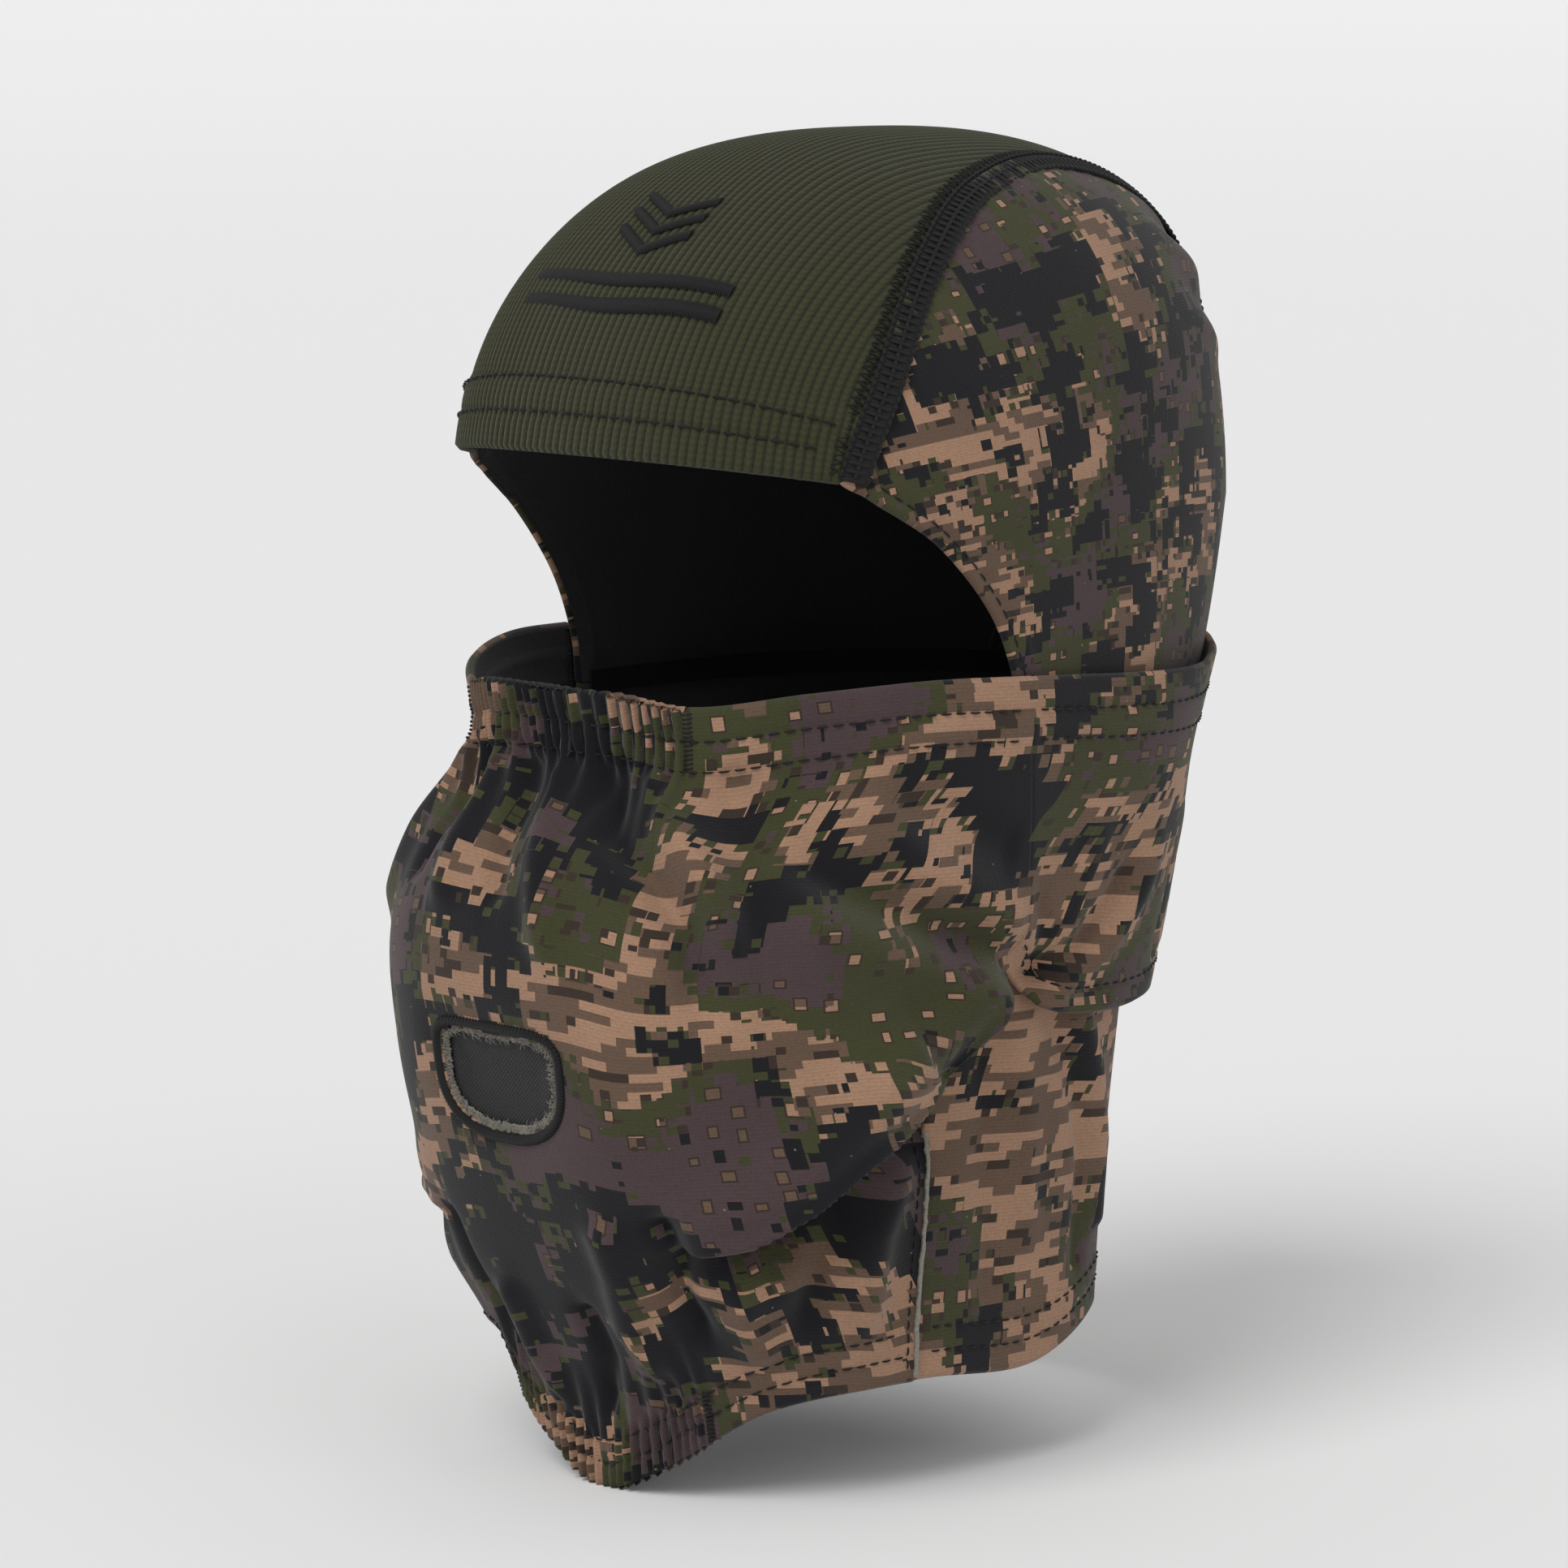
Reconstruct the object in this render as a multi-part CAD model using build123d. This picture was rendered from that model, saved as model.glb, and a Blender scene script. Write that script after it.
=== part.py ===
from build123d import *
import math
import os

os.makedirs("parts", exist_ok=True)

# A knitted hood with a pull-down face mask, in its worn shape.
# Millimetres. The front faces -Y, +Z is up and +X is the wearer's left.
# The origin is the middle of the head at ear level, where the head carries the hood.

# ---------------------------------------------------------------- driving dimensions
FABRIC = 1.5             # one layer of brushed camo knit
RIB_KNIT = 2.0           # ribbed crown strip
THREAD = 0.35            # height of a sewn thread row
THREAD_WIDTH = 0.7
PANEL_GAP = 0.3          # between two panels that a seam joins
SEAM_LIFT = 0.15         # between a panel and what is sewn on it
CROWN_SEAM_LIFT = 0.4    # over the step between rib knit and camo
TACK_LIFT = 0.7          # over the thread rows that the tacks cross
HEM_ELASTIC_GAP = 0.6        # gap between the bottom elastic and the cloth, which curves both ways
CROWN_SEAM_WIDTH = 9.0   # flatlock seam beside the crown strip
CROWN_SEAM_THICK = 0.7
LAP_SEAM_WIDTH = 6.0     # lapped seams of the mask and neck
LAP_SEAM_THICK = 0.6
ELASTIC_WIDTH = 8.0
ELASTIC_THICK = 0.8

BROW_RISE = 10.0         # degrees above the horizontal, seen from the dome centre
NAPE_TURN = 210.0        # where the crown strip ends behind the neck
SIDE_CORNER_TURN = 150.0 # where the side panel's top edge turns down the back
NECK_SEAM_Z = -12.0      # hood panels above, neck panels below
MASK_TOP_Z = 2.0
BAND_BOTTOM_Z = -82.0    # lower hem of the band round the back of the head
MASK_FRONT_BOTTOM_Z = -145.0
MASK_EDGE_ANGLE = 74.0   # half angle that the mask front spans, from straight ahead
NECK_FRONT_ANGLE = 73.0  # front edge of the neck panel under the mask
FRONT_EDGE_ANGLE = 57.0  # half angle of the front panel at the neck

EMBLEM_X = 8.0           # the embroidery sits a little to the left of the middle
MOUTH_Z = -94.0
MOUTH_WIDTH = 42.0
MOUTH_HEIGHT = 25.0
MOUTH_EDGING = 3.0       # width of the satin stitched ring
MOUTH_LAP = 5.0          # how far the mesh runs behind the fabric

# Sections of the body under the cloth, from high to low:
# height, half width, front depth, back depth, front squareness
HOOD_SECTIONS = [
    (40, 81.0, 104.0, 102.0, 2.6),
    (0, 80.5, 100.0, 92.5, 2.3),
    (-20, 79.0, 98.0, 80.5, 2.3),
    (-40, 76.0, 98.0, 76.0, 2.3),
    (-60, 73.0, 98.0, 69.0, 2.3),
    (-87, 70.0, 98.0, 61.0, 2.3),
    (-120, 66.0, 98.0, 56.0, 2.5),
    (-150, 63.0, 98.0, 56.0, 2.8),
    (-185, 62.0, 83.0, 57.0, 2.6),
    (-215, 62.0, 76.0, 58.0, 2.4),
]
MASK_SECTIONS = [
    (4, 85.0, 109.0, 96.8, 2.0),
    (-20, 83.5, 107.0, 85.5, 2.1),
    (-40, 82.0, 121.0, 81.0, 2.4),
    (-62, 80.0, 127.0, 74.0, 2.8),
    (-88, 77.0, 125.0, 66.5, 3.0),
    (-110, 74.0, 121.0, 62.0, 3.0),
    (-150, 70.0, 107.0, 61.0, 3.0),
]
FRONT_SECTIONS = [
    (-140, 66.5, 105.5, 60.0, 3.0),
    (-165, 65.0, 95.0, 60.0, 2.8),
    (-185, 63.5, 89.0, 60.0, 2.6),
    (-215, 62.0, 86.0, 60.0, 2.4),
]
DOME_HEIGHT = 93.0
DOME_SQUARENESS = 2.8      # of the crown's profile at the back of the head
BROW_SQUARENESS = 2.2      # of the same profile above the forehead, which leans back
BROW_SPAN = (-75, 25)      # Y range over which the profile changes from brow to dome
BACK_SQUARENESS = 2.15

# Half width of the crown strip against the turn from front to nape, in degrees
CROWN_WIDTHS = [(0, 65.5), (30, 67.0), (57, 61.0), (82, 51.0), (108, 42.0), (160, 34.0), (210, 30.0)]
# Edge of the face opening on the left side, from the brow corner down to the neck seam
FACE_EDGE = [(71.4, -63.6, 46.9), (76.4, -48, 36), (78.6, -33, 19.4), (79.1, -25.7, 2.4)]
# Height of the bottom hem against the angle round the neck, from straight ahead
HEM_HEIGHTS = [(-32, -175.0), (-12, -193.0), (0, -200.0), (12, -193.0), (32, -175.0), (56, -171.0),
               (88, -173.0), (120, -165.0), (180, -162.0)]


def smooth_table(rows, at, column=1):
    """Value of a column of rows at a place, on a smooth curve through the rows."""
    rows = sorted(rows)
    at = min(max(at, rows[0][0]), rows[-1][0])
    i = 0
    while i < len(rows) - 2 and at > rows[i + 1][0]:
        i += 1

    def slope(k):
        low = rows[max(k - 1, 0)]
        high = rows[min(k + 1, len(rows) - 1)]
        return (high[column] - low[column]) / (high[0] - low[0])

    span = rows[i + 1][0] - rows[i][0]
    t = (at - rows[i][0]) / span
    start = rows[i][column]
    end = rows[i + 1][column]
    return (
        (2 * t**3 - 3 * t**2 + 1) * start
        + (t**3 - 2 * t**2 + t) * span * slope(i)
        + (3 * t**2 - 2 * t**3) * end
        + (t**3 - t**2) * span * slope(i + 1)
    )


class Form:
    """A rounded body, given by its sections, that cloth panels are cut over."""

    def __init__(self, sections, domed=False):
        self.sections = sections
        self.top = max(row[0] for row in sections)
        self.domed = domed

    def level(self, p):
        """Below 1 inside the form and above 1 outside it."""
        z = min(p.Z, self.top)
        width = smooth_table(self.sections, z, 1)
        if p.Y < 0:
            depth = smooth_table(self.sections, z, 2)
            square = smooth_table(self.sections, z, 4)
        else:
            depth = smooth_table(self.sections, z, 3)
            square = BACK_SQUARENESS
        ring = (abs(p.X / width) ** square + abs(p.Y / depth) ** square) ** (1 / square)
        if not self.domed or p.Z <= self.top:
            return ring
        rise = (p.Z - self.top) / DOME_HEIGHT
        share = min(max((p.Y - BROW_SPAN[0]) / (BROW_SPAN[1] - BROW_SPAN[0]), 0), 1)
        share = share * share * (3 - 2 * share)
        square = BROW_SQUARENESS + (DOME_SQUARENESS - BROW_SQUARENESS) * share
        return (ring**square + rise**square) ** (1 / square)

    def hit(self, start, toward):
        """Point where a ray from inside the form leaves it."""
        low = 0.0
        high = 220.0
        for _ in range(44):
            middle = (low + high) / 2
            if self.level(start + toward * middle) < 1:
                low = middle
            else:
                high = middle
        return start + toward * low

    def normal(self, p):
        """Outward direction at a point of the form."""
        step = 0.5
        x = self.level(p + Vector(step, 0, 0)) - self.level(p - Vector(step, 0, 0))
        y = self.level(p + Vector(0, step, 0)) - self.level(p - Vector(0, step, 0))
        z = self.level(p + Vector(0, 0, step)) - self.level(p - Vector(0, 0, step))
        return Vector(x, y, z).normalized()

    def settle(self, p):
        """Move a nearby point onto the form."""
        start = Vector(0, 0, min(p.Z, self.top))
        return self.hit(start, (p - start).normalized())

    def round(self, angle, z):
        """Point at a height, by its angle from straight ahead, positive to the left."""
        turn = math.radians(angle)
        return self.hit(Vector(0, 0, z), Vector(math.sin(turn), -math.cos(turn), 0))


HOOD = Form(HOOD_SECTIONS, domed=True)
MASK = Form(MASK_SECTIONS)
FRONT = Form(FRONT_SECTIONS)


def steps(start, end, count):
    """Evenly spaced numbers, with both ends."""
    return [start + (end - start) * i / (count - 1) for i in range(count)]


def sheet(form, rows, lift, thick):
    """Solid cloth: rows of points on a form, raised by lift and thickened inwards."""
    raised = [[p + form.normal(p) * lift for p in row] for row in rows]
    face = Face.make_surface_from_array_of_points(raised, tol=0.02)
    centre = rows[len(rows) // 2][len(rows[0]) // 2]
    return Solid.thicken(face, -thick, form.normal(centre))


def ribbon(form, line, width, thick, lift=SEAM_LIFT):
    """A flat strip that follows a line on a form and stands proud of it by thick."""
    rows = [[], [], []]
    for i, p in enumerate(line):
        along = line[min(i + 1, len(line) - 1)] - line[max(i - 1, 0)]
        aside = along.normalized().cross(form.normal(p))
        for row, share in zip(rows, (-0.5, 0, 0.5)):
            row.append(form.settle(p + aside * (share * width)))
    return sheet(form, rows, lift + thick, thick)


def mirrored(solid):
    """The same piece on the wearer's right side."""
    return solid.mirror(Plane.YZ)


def save(name, *solids):
    """Write one named piece, or a group of like pieces."""
    shape = solids[0] if len(solids) == 1 else Compound(children=list(solids))
    shape.label = name
    export_step(shape, f"parts/{name}.step")


def save_pair(name, left):
    """Write a piece of the left side and its mirror image on the right."""
    save(f"left_{name}", left)
    save(f"right_{name}", mirrored(left))


# ---------------------------------------------------------------- crown strip
def crown_point(share, turn, beyond=0.0):
    """Point by its share across the strip and turn from front to nape, or beyond its edge."""
    half = smooth_table(CROWN_WIDTHS, turn)
    lean = math.radians(turn)
    start = Vector(share * half + beyond, 0, HOOD.top)
    return HOOD.hit(start, Vector(0, -math.cos(lean), math.sin(lean)))


def crown_panel():
    across = steps(-1, 1, 15)
    turns = steps(BROW_RISE, NAPE_TURN, 27)
    return sheet(HOOD, [[crown_point(s, t) for s in across] for t in turns], 0, RIB_KNIT)


def brow_stitching():
    """Two rows of thread that hold the turned brow hem."""
    rows = []
    for above in (4.6, 9.2):
        line = [crown_point(s, BROW_RISE + above) for s in steps(-0.92, 0.92, 19)]
        rows.append(ribbon(HOOD, line, THREAD_WIDTH, THREAD))
    return rows


def crown_seam():
    """Flatlock seam over the left edge of the strip, from brow to nape."""
    line = [crown_point(1, t) for t in steps(BROW_RISE + 0.5, 195, 30)]
    return ribbon(HOOD, line, CROWN_SEAM_WIDTH, CROWN_SEAM_THICK, lift=CROWN_SEAM_LIFT)


def emblem():
    """Plain embroidered chevrons over a double bar, raised from the crown strip."""
    turns = steps(28, 75, 9)
    cap = sheet(HOOD, [[crown_point(s, t) for s in steps(-0.8, 0.8, 9)] for t in turns], 0.6, 0.5)
    marks = []
    x = EMBLEM_X
    for y in (-72, -65, -58):
        with BuildSketch(Plane.XY) as chevron:
            with BuildLine():
                Polyline((x - 20, y + 9), (x, y), (x + 20, y + 9), (x + 20, y + 12.5), (x, y + 3.5),
                         (x - 20, y + 12.5), close=True)
            make_face()
        marks.append(chevron.sketch)
    for y in (-86, -80):
        with BuildSketch(Plane.XY) as bar:
            with Locations((x, y)):
                Rectangle(64, 2.6)
        marks.append(bar.sketch)
    solids = []
    for mark in marks:
        solids += (cap & extrude(mark, amount=160)).solids()
    return solids


# ---------------------------------------------------------------- side panels
def polyline_point(points, share):
    """Point on a smooth curve through a few points, by its share of their number."""
    last = len(points) - 1
    rows = [(i / last, p.X, p.Y, p.Z) for i, p in enumerate(points)]
    return Vector(*[smooth_table(rows, share, column) for column in (1, 2, 3)])


def face_edge_point(share):
    """Edge of the face opening, from the brow corner at 0 to the neck seam at 1."""
    corner = crown_point(1, BROW_RISE, PANEL_GAP)
    foot = HOOD.round(NECK_FRONT_ANGLE, NECK_SEAM_Z)
    points = [corner] + [Vector(*p) for p in FACE_EDGE] + [foot]
    centre = Vector(0, 0, 0)
    return HOOD.hit(centre, polyline_point(points, share).normalized())




def side_panel():
    """Camo panel beside the crown strip: a patch between its four edges."""
    count = 15
    shares = steps(0, 1, count)
    upper = steps(BROW_RISE, SIDE_CORNER_TURN, count)
    lower = steps(SIDE_CORNER_TURN, NAPE_TURN - 0.6, count)
    top = [crown_point(1, t, PANEL_GAP) for t in upper]
    back = [crown_point(1, t, PANEL_GAP) for t in lower]
    front = [face_edge_point(s) for s in shares]
    foot_end = back[-1]
    foot_angle = 180 - math.degrees(math.atan2(foot_end.X, foot_end.Y))
    foot = [HOOD.round(a, NECK_SEAM_Z) for a in steps(NECK_FRONT_ANGLE, foot_angle, count)]
    foot[-1] = foot_end
    rows = []
    for i, u in enumerate(shares):
        row = []
        for j, v in enumerate(shares):
            edges = top[j] * (1 - u) + foot[j] * u + front[i] * (1 - v) + back[i] * v
            corners = (
                top[0] * ((1 - u) * (1 - v)) + top[-1] * ((1 - u) * v)
                + foot[0] * (u * (1 - v)) + foot[-1] * (u * v)
            )
            inner = edges - corners
            row.append(HOOD.hit(Vector(0, 0, 0), inner.normalized()))
        rows.append(row)
    return sheet(HOOD, rows, 0, FABRIC)


def face_stitching():
    """Thread row beside the edge of the face opening."""
    line = []
    for share in steps(0.09, 0.93, 19):
        p = face_edge_point(share)
        along = face_edge_point(share + 0.02) - p
        inward = HOOD.normal(p).cross(along.normalized())
        line.append(p + inward * 3.0)
    return ribbon(HOOD, line, THREAD_WIDTH, THREAD)


# ---------------------------------------------------------------- neck
def hem_height(angle):
    """Height of the bottom hem at an angle from straight ahead."""
    return smooth_table(HEM_HEIGHTS, abs(angle))


def neck_front_angle(z):
    """Front edge of the neck panel, where the front panel laps onto it."""
    rows = [(-215, FRONT_EDGE_ANGLE), (-105, 59.0), (-60, 70.0), (0, NECK_FRONT_ANGLE)]
    return smooth_table(rows, z)


def neck_panel():
    """Half of the neck, from the side seam round to the middle of the back."""
    rows = []
    for share in steps(0, 1, 17):
        row = []
        for part in steps(0, 1, 17):
            back_z = hem_height(180)
            rough = NECK_SEAM_Z - 0.3 + (back_z - NECK_SEAM_Z) * share
            angle = neck_front_angle(rough) * (1 - part) + 179.8 * part
            z = NECK_SEAM_Z - 0.3 + (hem_height(angle) - NECK_SEAM_Z) * share
            row.append(HOOD.round(angle, z))
        rows.append(row)
    return sheet(HOOD, rows, 0, FABRIC)


def front_panel():
    """Fixed lower part of the front, from under the mask down to the bottom hem."""
    top = MASK_FRONT_BOTTOM_Z + 1
    rows = []
    for share in steps(0, 1, 9):
        row = []
        for angle in steps(-FRONT_EDGE_ANGLE + 0.4, FRONT_EDGE_ANGLE - 0.4, 21):
            row.append(FRONT.round(angle, top + (hem_height(angle) - top) * share))
        rows.append(row)
    return sheet(FRONT, rows, 0, FABRIC)


def inner_tape(form, line, width, thick, layer):
    """A tape or elastic against the inner face of a panel of the given layer."""
    return ribbon(form, line, width, thick, lift=-layer - thick - 0.1)


def side_seam():
    """Lapped seam that joins the front panel to the neck panel."""
    line = []
    for z in steps(MASK_FRONT_BOTTOM_Z, hem_height(FRONT_EDGE_ANGLE) + 0.5, 9):
        line.append(FRONT.round(FRONT_EDGE_ANGLE, z))
    return ribbon(FRONT, line, LAP_SEAM_WIDTH, LAP_SEAM_THICK, lift=0.3)


def bottom_stitching():
    """Two thread rows round the bottom hem."""
    rows = []
    for above in (6.0, 12.0):
        front = [FRONT.round(a, hem_height(a) + above) for a in steps(-52, 52, 21)]
        rows.append(ribbon(FRONT, front, THREAD_WIDTH, THREAD))
        back = [HOOD.round(a, hem_height(a) + above) for a in steps(64, 178, 19)]
        left = ribbon(HOOD, back, THREAD_WIDTH, THREAD)
        rows += [left, mirrored(left)]
    return rows


# ---------------------------------------------------------------- mask
def mask_edge_angle(z):
    """Half angle of the mask front: full beside the band, narrower below it."""
    rows = [(-150, 58.0), (-105, 59.5), (-82, 74.5), (4, MASK_EDGE_ANGLE)]
    return smooth_table(rows, z)


def mask_rows(bottom, top, count_z, count_angle):
    """Rows of points over the mask front."""
    rows = []
    for z in steps(top, bottom, count_z):
        edge = mask_edge_angle(z)
        rows.append([MASK.round(a, z) for a in steps(-edge, edge, count_angle)])
    return rows


def mouth_shape(grow):
    """D-shaped outline of the vent, seen from the front, grown by a margin."""
    half = MOUTH_WIDTH / 2
    low = -MOUTH_HEIGHT / 2
    with BuildSketch(Plane.XZ.offset(60)) as outline:
        with BuildLine():
            Line((-half + 5, -low), (half - 5, -low))
            ThreePointArc((half - 5, -low), (half - 1.5, -low - 1.5), (half, -low - 6))
            ThreePointArc((half, -low - 6), (half - 7, low + 6), (half - 18, low))
            Line((half - 18, low), (-half + 18, low))
            ThreePointArc((-half + 18, low), (-half + 7, low + 6), (-half, -low - 6))
            ThreePointArc((-half, -low - 6), (-half + 1.5, -low - 1.5), (-half + 5, -low))
        make_face()
    sketch = outline.sketch.moved(Location((0, 0, MOUTH_Z)))
    if grow:
        sketch = offset(sketch, amount=grow)
    return extrude(sketch, amount=90).solid()


def mask_front():
    """Front of the mask, from nose to chin, with the vent cut through."""
    cloth = sheet(MASK, mask_rows(MASK_FRONT_BOTTOM_Z, MASK_TOP_Z, 25, 27), 0, FABRIC)
    return (cloth - mouth_shape(0)).solid()


def mouth_layer(lift, thick):
    """A thin layer of the mask's shape round the vent."""
    rows = []
    for z in steps(MOUTH_Z - 28, MOUTH_Z + 28, 7):
        rows.append([MASK.round(a, z) for a in steps(-28, 28, 9)])
    return sheet(MASK, rows, lift, thick)


def mouth_mesh():
    """Black mesh behind the vent."""
    return (mouth_layer(-FABRIC - 0.1, 0.6) & mouth_shape(MOUTH_LAP)).solid()


def mouth_edging():
    """Satin stitched ring round the vent."""
    ring = mouth_shape(MOUTH_EDGING + 0.6) - mouth_shape(0.6)
    return (mouth_layer(0.75, 0.7) & ring).solid()


def mask_wing():
    """Half of the band that runs from the mask front round the back of the head."""
    rows = []
    for z in steps(MASK_TOP_Z, BAND_BOTTOM_Z, 12):
        start = mask_edge_angle(z) + 0.15
        rows.append([MASK.round(a, z) for a in steps(start, 179.8, 17)])
    return sheet(MASK, rows, 0, FABRIC)


def wing_seam():
    """Seam between the mask front and the band."""
    line = [MASK.round(mask_edge_angle(z), z) for z in steps(MASK_TOP_Z - 0.5, BAND_BOTTOM_Z, 13)]
    return ribbon(MASK, line, LAP_SEAM_WIDTH, LAP_SEAM_THICK)


def rear_band_seam():
    """Seam at the middle of the band's back."""
    line = [MASK.round(180, z) for z in steps(MASK_TOP_Z - 0.5, BAND_BOTTOM_Z + 0.5, 11)]
    return ribbon(MASK, line, LAP_SEAM_WIDTH, LAP_SEAM_THICK)


def mask_top_stitching():
    """Two thread rows below the mask's top edge, in front and on each wing."""
    rows = []
    for below in (7.3, 14.7):
        z = MASK_TOP_Z - below
        edge = mask_edge_angle(z) - 3
        line = [MASK.round(a, z) for a in steps(-edge, edge, 25)]
        rows.append(ribbon(MASK, line, THREAD_WIDTH, THREAD))
        wing = [MASK.round(a, z) for a in steps(edge + 6, 176, 19)]
        left = ribbon(MASK, wing, THREAD_WIDTH, THREAD)
        rows += [left, mirrored(left)]
    return rows


def rear_band_stitching():
    """One thread row above the band's lower hem on each wing."""
    z = BAND_BOTTOM_Z + 6
    line = [MASK.round(a, z) for a in steps(mask_edge_angle(z) + 4, 176, 17)]
    left = ribbon(MASK, line, THREAD_WIDTH, THREAD)
    return [left, mirrored(left)]


def nose_elastic():
    """Elastic sewn into the top hem over the nose."""
    line = [MASK.round(a, MASK_TOP_Z - 7.4 + 1.0) for a in steps(-32, 32, 13)]
    return inner_tape(MASK, line, ELASTIC_WIDTH, ELASTIC_THICK, FABRIC)


def elastic_tacks():
    """Short bars of thread that hold the ends of the nose elastic."""
    line = [MASK.round(33, z) for z in steps(MASK_TOP_Z - 1, MASK_TOP_Z - 14, 7)]
    left = ribbon(MASK, line, 1.6, 0.5, lift=TACK_LIFT)
    return [left, mirrored(left)]


def bottom_elastic():
    """Elastic sewn into the bottom hem under the chin."""
    line = [FRONT.round(a, hem_height(a) + 6.5) for a in steps(-30, 30, 13)]
    return inner_tape(FRONT, line, ELASTIC_WIDTH, ELASTIC_THICK, FABRIC + HEM_ELASTIC_GAP)


def neck_seam():
    """Tape inside the hood over the join of hood panels and neck panels."""
    line = [HOOD.round(a, NECK_SEAM_Z) for a in steps(NECK_FRONT_ANGLE + 2, 177, 19)]
    left = inner_tape(HOOD, line, LAP_SEAM_WIDTH, LAP_SEAM_THICK, RIB_KNIT)
    return [left, mirrored(left)]


def rear_neck_seam():
    """Seam down the middle of the neck's back."""
    line = [HOOD.round(180, z) for z in steps(BAND_BOTTOM_Z - 2, hem_height(180) + 14, 9)]
    return ribbon(HOOD, line, LAP_SEAM_WIDTH, LAP_SEAM_THICK)


save("crown_panel", crown_panel())
save("brow_stitching", *brow_stitching())
save("crown_emblem", *emblem())
save_pair("crown_seam", crown_seam())
save_pair("side_panel", side_panel())
save_pair("face_stitching", face_stitching())
save_pair("neck_panel", neck_panel())
save("neck_seam", *neck_seam())
save("rear_neck_seam", rear_neck_seam())
save("front_panel", front_panel())
save_pair("side_seam", side_seam())
save("bottom_elastic", bottom_elastic())
save("bottom_stitching", *bottom_stitching())

save("mask_front", mask_front())
save_pair("mask_wing", mask_wing())
save_pair("wing_seam", wing_seam())
save("rear_band_seam", rear_band_seam())
save("mask_top_stitching", *mask_top_stitching())
save("rear_band_stitching", *rear_band_stitching())
save("nose_elastic", nose_elastic())
save("elastic_tacks", *elastic_tacks())
save("mouth_mesh", mouth_mesh())
save("mouth_edging", mouth_edging())
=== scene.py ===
"""Camo hood with a pull-down face mask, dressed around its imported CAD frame.

Lengths inside the classes are millimetres, and turn into metres where a mesh is written.
The front faces -Y, +Z is up and +X is the wearer's left.
"""

import logging
import math
from dataclasses import dataclass, field
from enum import Enum
from typing import Optional, Union

import bmesh
import bpy
import numpy as np
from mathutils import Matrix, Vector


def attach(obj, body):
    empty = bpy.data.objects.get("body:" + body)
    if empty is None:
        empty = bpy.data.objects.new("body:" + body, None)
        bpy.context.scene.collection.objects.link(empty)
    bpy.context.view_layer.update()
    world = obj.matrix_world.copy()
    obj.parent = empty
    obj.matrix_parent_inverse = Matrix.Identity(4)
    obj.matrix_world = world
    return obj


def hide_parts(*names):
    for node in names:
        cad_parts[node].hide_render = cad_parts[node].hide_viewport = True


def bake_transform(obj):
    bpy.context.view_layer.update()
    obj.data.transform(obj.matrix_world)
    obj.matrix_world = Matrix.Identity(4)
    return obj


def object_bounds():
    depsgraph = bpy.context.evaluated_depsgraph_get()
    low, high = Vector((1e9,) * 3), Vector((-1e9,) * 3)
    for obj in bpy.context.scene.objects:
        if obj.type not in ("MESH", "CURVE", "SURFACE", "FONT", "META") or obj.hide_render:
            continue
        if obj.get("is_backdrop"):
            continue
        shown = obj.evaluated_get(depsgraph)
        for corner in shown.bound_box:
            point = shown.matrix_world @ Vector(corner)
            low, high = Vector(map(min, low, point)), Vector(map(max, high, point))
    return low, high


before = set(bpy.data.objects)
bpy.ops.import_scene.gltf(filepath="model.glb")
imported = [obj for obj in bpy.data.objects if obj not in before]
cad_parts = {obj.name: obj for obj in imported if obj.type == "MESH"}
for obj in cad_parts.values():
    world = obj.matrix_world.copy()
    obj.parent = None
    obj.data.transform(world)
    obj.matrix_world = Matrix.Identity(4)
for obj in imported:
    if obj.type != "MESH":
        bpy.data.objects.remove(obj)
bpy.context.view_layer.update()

log = logging.getLogger("camo_face_mask")
MM = 0.001
CLOTH_MAP = "cloth"

Socket = bpy.types.NodeSocket
# What goes into a node: a link, a number, a vector or an sRGB hex colour
Input = Union[bpy.types.NodeSocket, float, tuple, str]


class Body(Enum):
    """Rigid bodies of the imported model."""

    HOOD = "hood"
    MASK = "mask"


class Side(Enum):
    """Side of the wearer, with the sign of its X."""

    LEFT = 1
    RIGHT = -1

    def name_of(self, piece: str) -> str:
        """Name of a piece on this side."""
        return f"{self.name.lower()}_{piece}"


# ------------------------------------------------------------------ numbers
def smooth_table(rows: list[tuple], at: np.ndarray, column: int = 1) -> np.ndarray:
    """Values of a column of rows on a smooth curve through the rows.

    Args:
        rows: rows of numbers; the first number of each is its place.
        at: places to read.
        column: column to read.

    Returns:
        The values, in the shape of at.
    """
    table = np.array(sorted(rows), float)
    place = table[:, 0]
    value = table[:, column]
    slope = np.empty_like(value)
    slope[1:-1] = (value[2:] - value[:-2]) / (place[2:] - place[:-2])
    slope[0] = (value[1] - value[0]) / (place[1] - place[0])
    slope[-1] = (value[-1] - value[-2]) / (place[-1] - place[-2])
    at = np.clip(np.asarray(at, float), place[0], place[-1])
    i = np.clip(np.searchsorted(place, at, side="right") - 1, 0, len(place) - 2)
    span = place[i + 1] - place[i]
    t = (at - place[i]) / span
    return (
        (2 * t**3 - 3 * t**2 + 1) * value[i]
        + (t**3 - 2 * t**2 + t) * span * slope[i]
        + (3 * t**2 - 2 * t**3) * value[i + 1]
        + (t**3 - t**2) * span * slope[i + 1]
    )


def smoothstep(low: float, high: float, x: np.ndarray) -> np.ndarray:
    """Smooth rise from 0 at low to 1 at high."""
    t = np.clip((np.asarray(x, float) - low) / (high - low), 0, 1)
    return t * t * (3 - 2 * t)


def bump(x: np.ndarray, width: float) -> np.ndarray:
    """Bell of height 1 at 0."""
    return np.exp(-((np.asarray(x, float) / width) ** 2))


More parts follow.
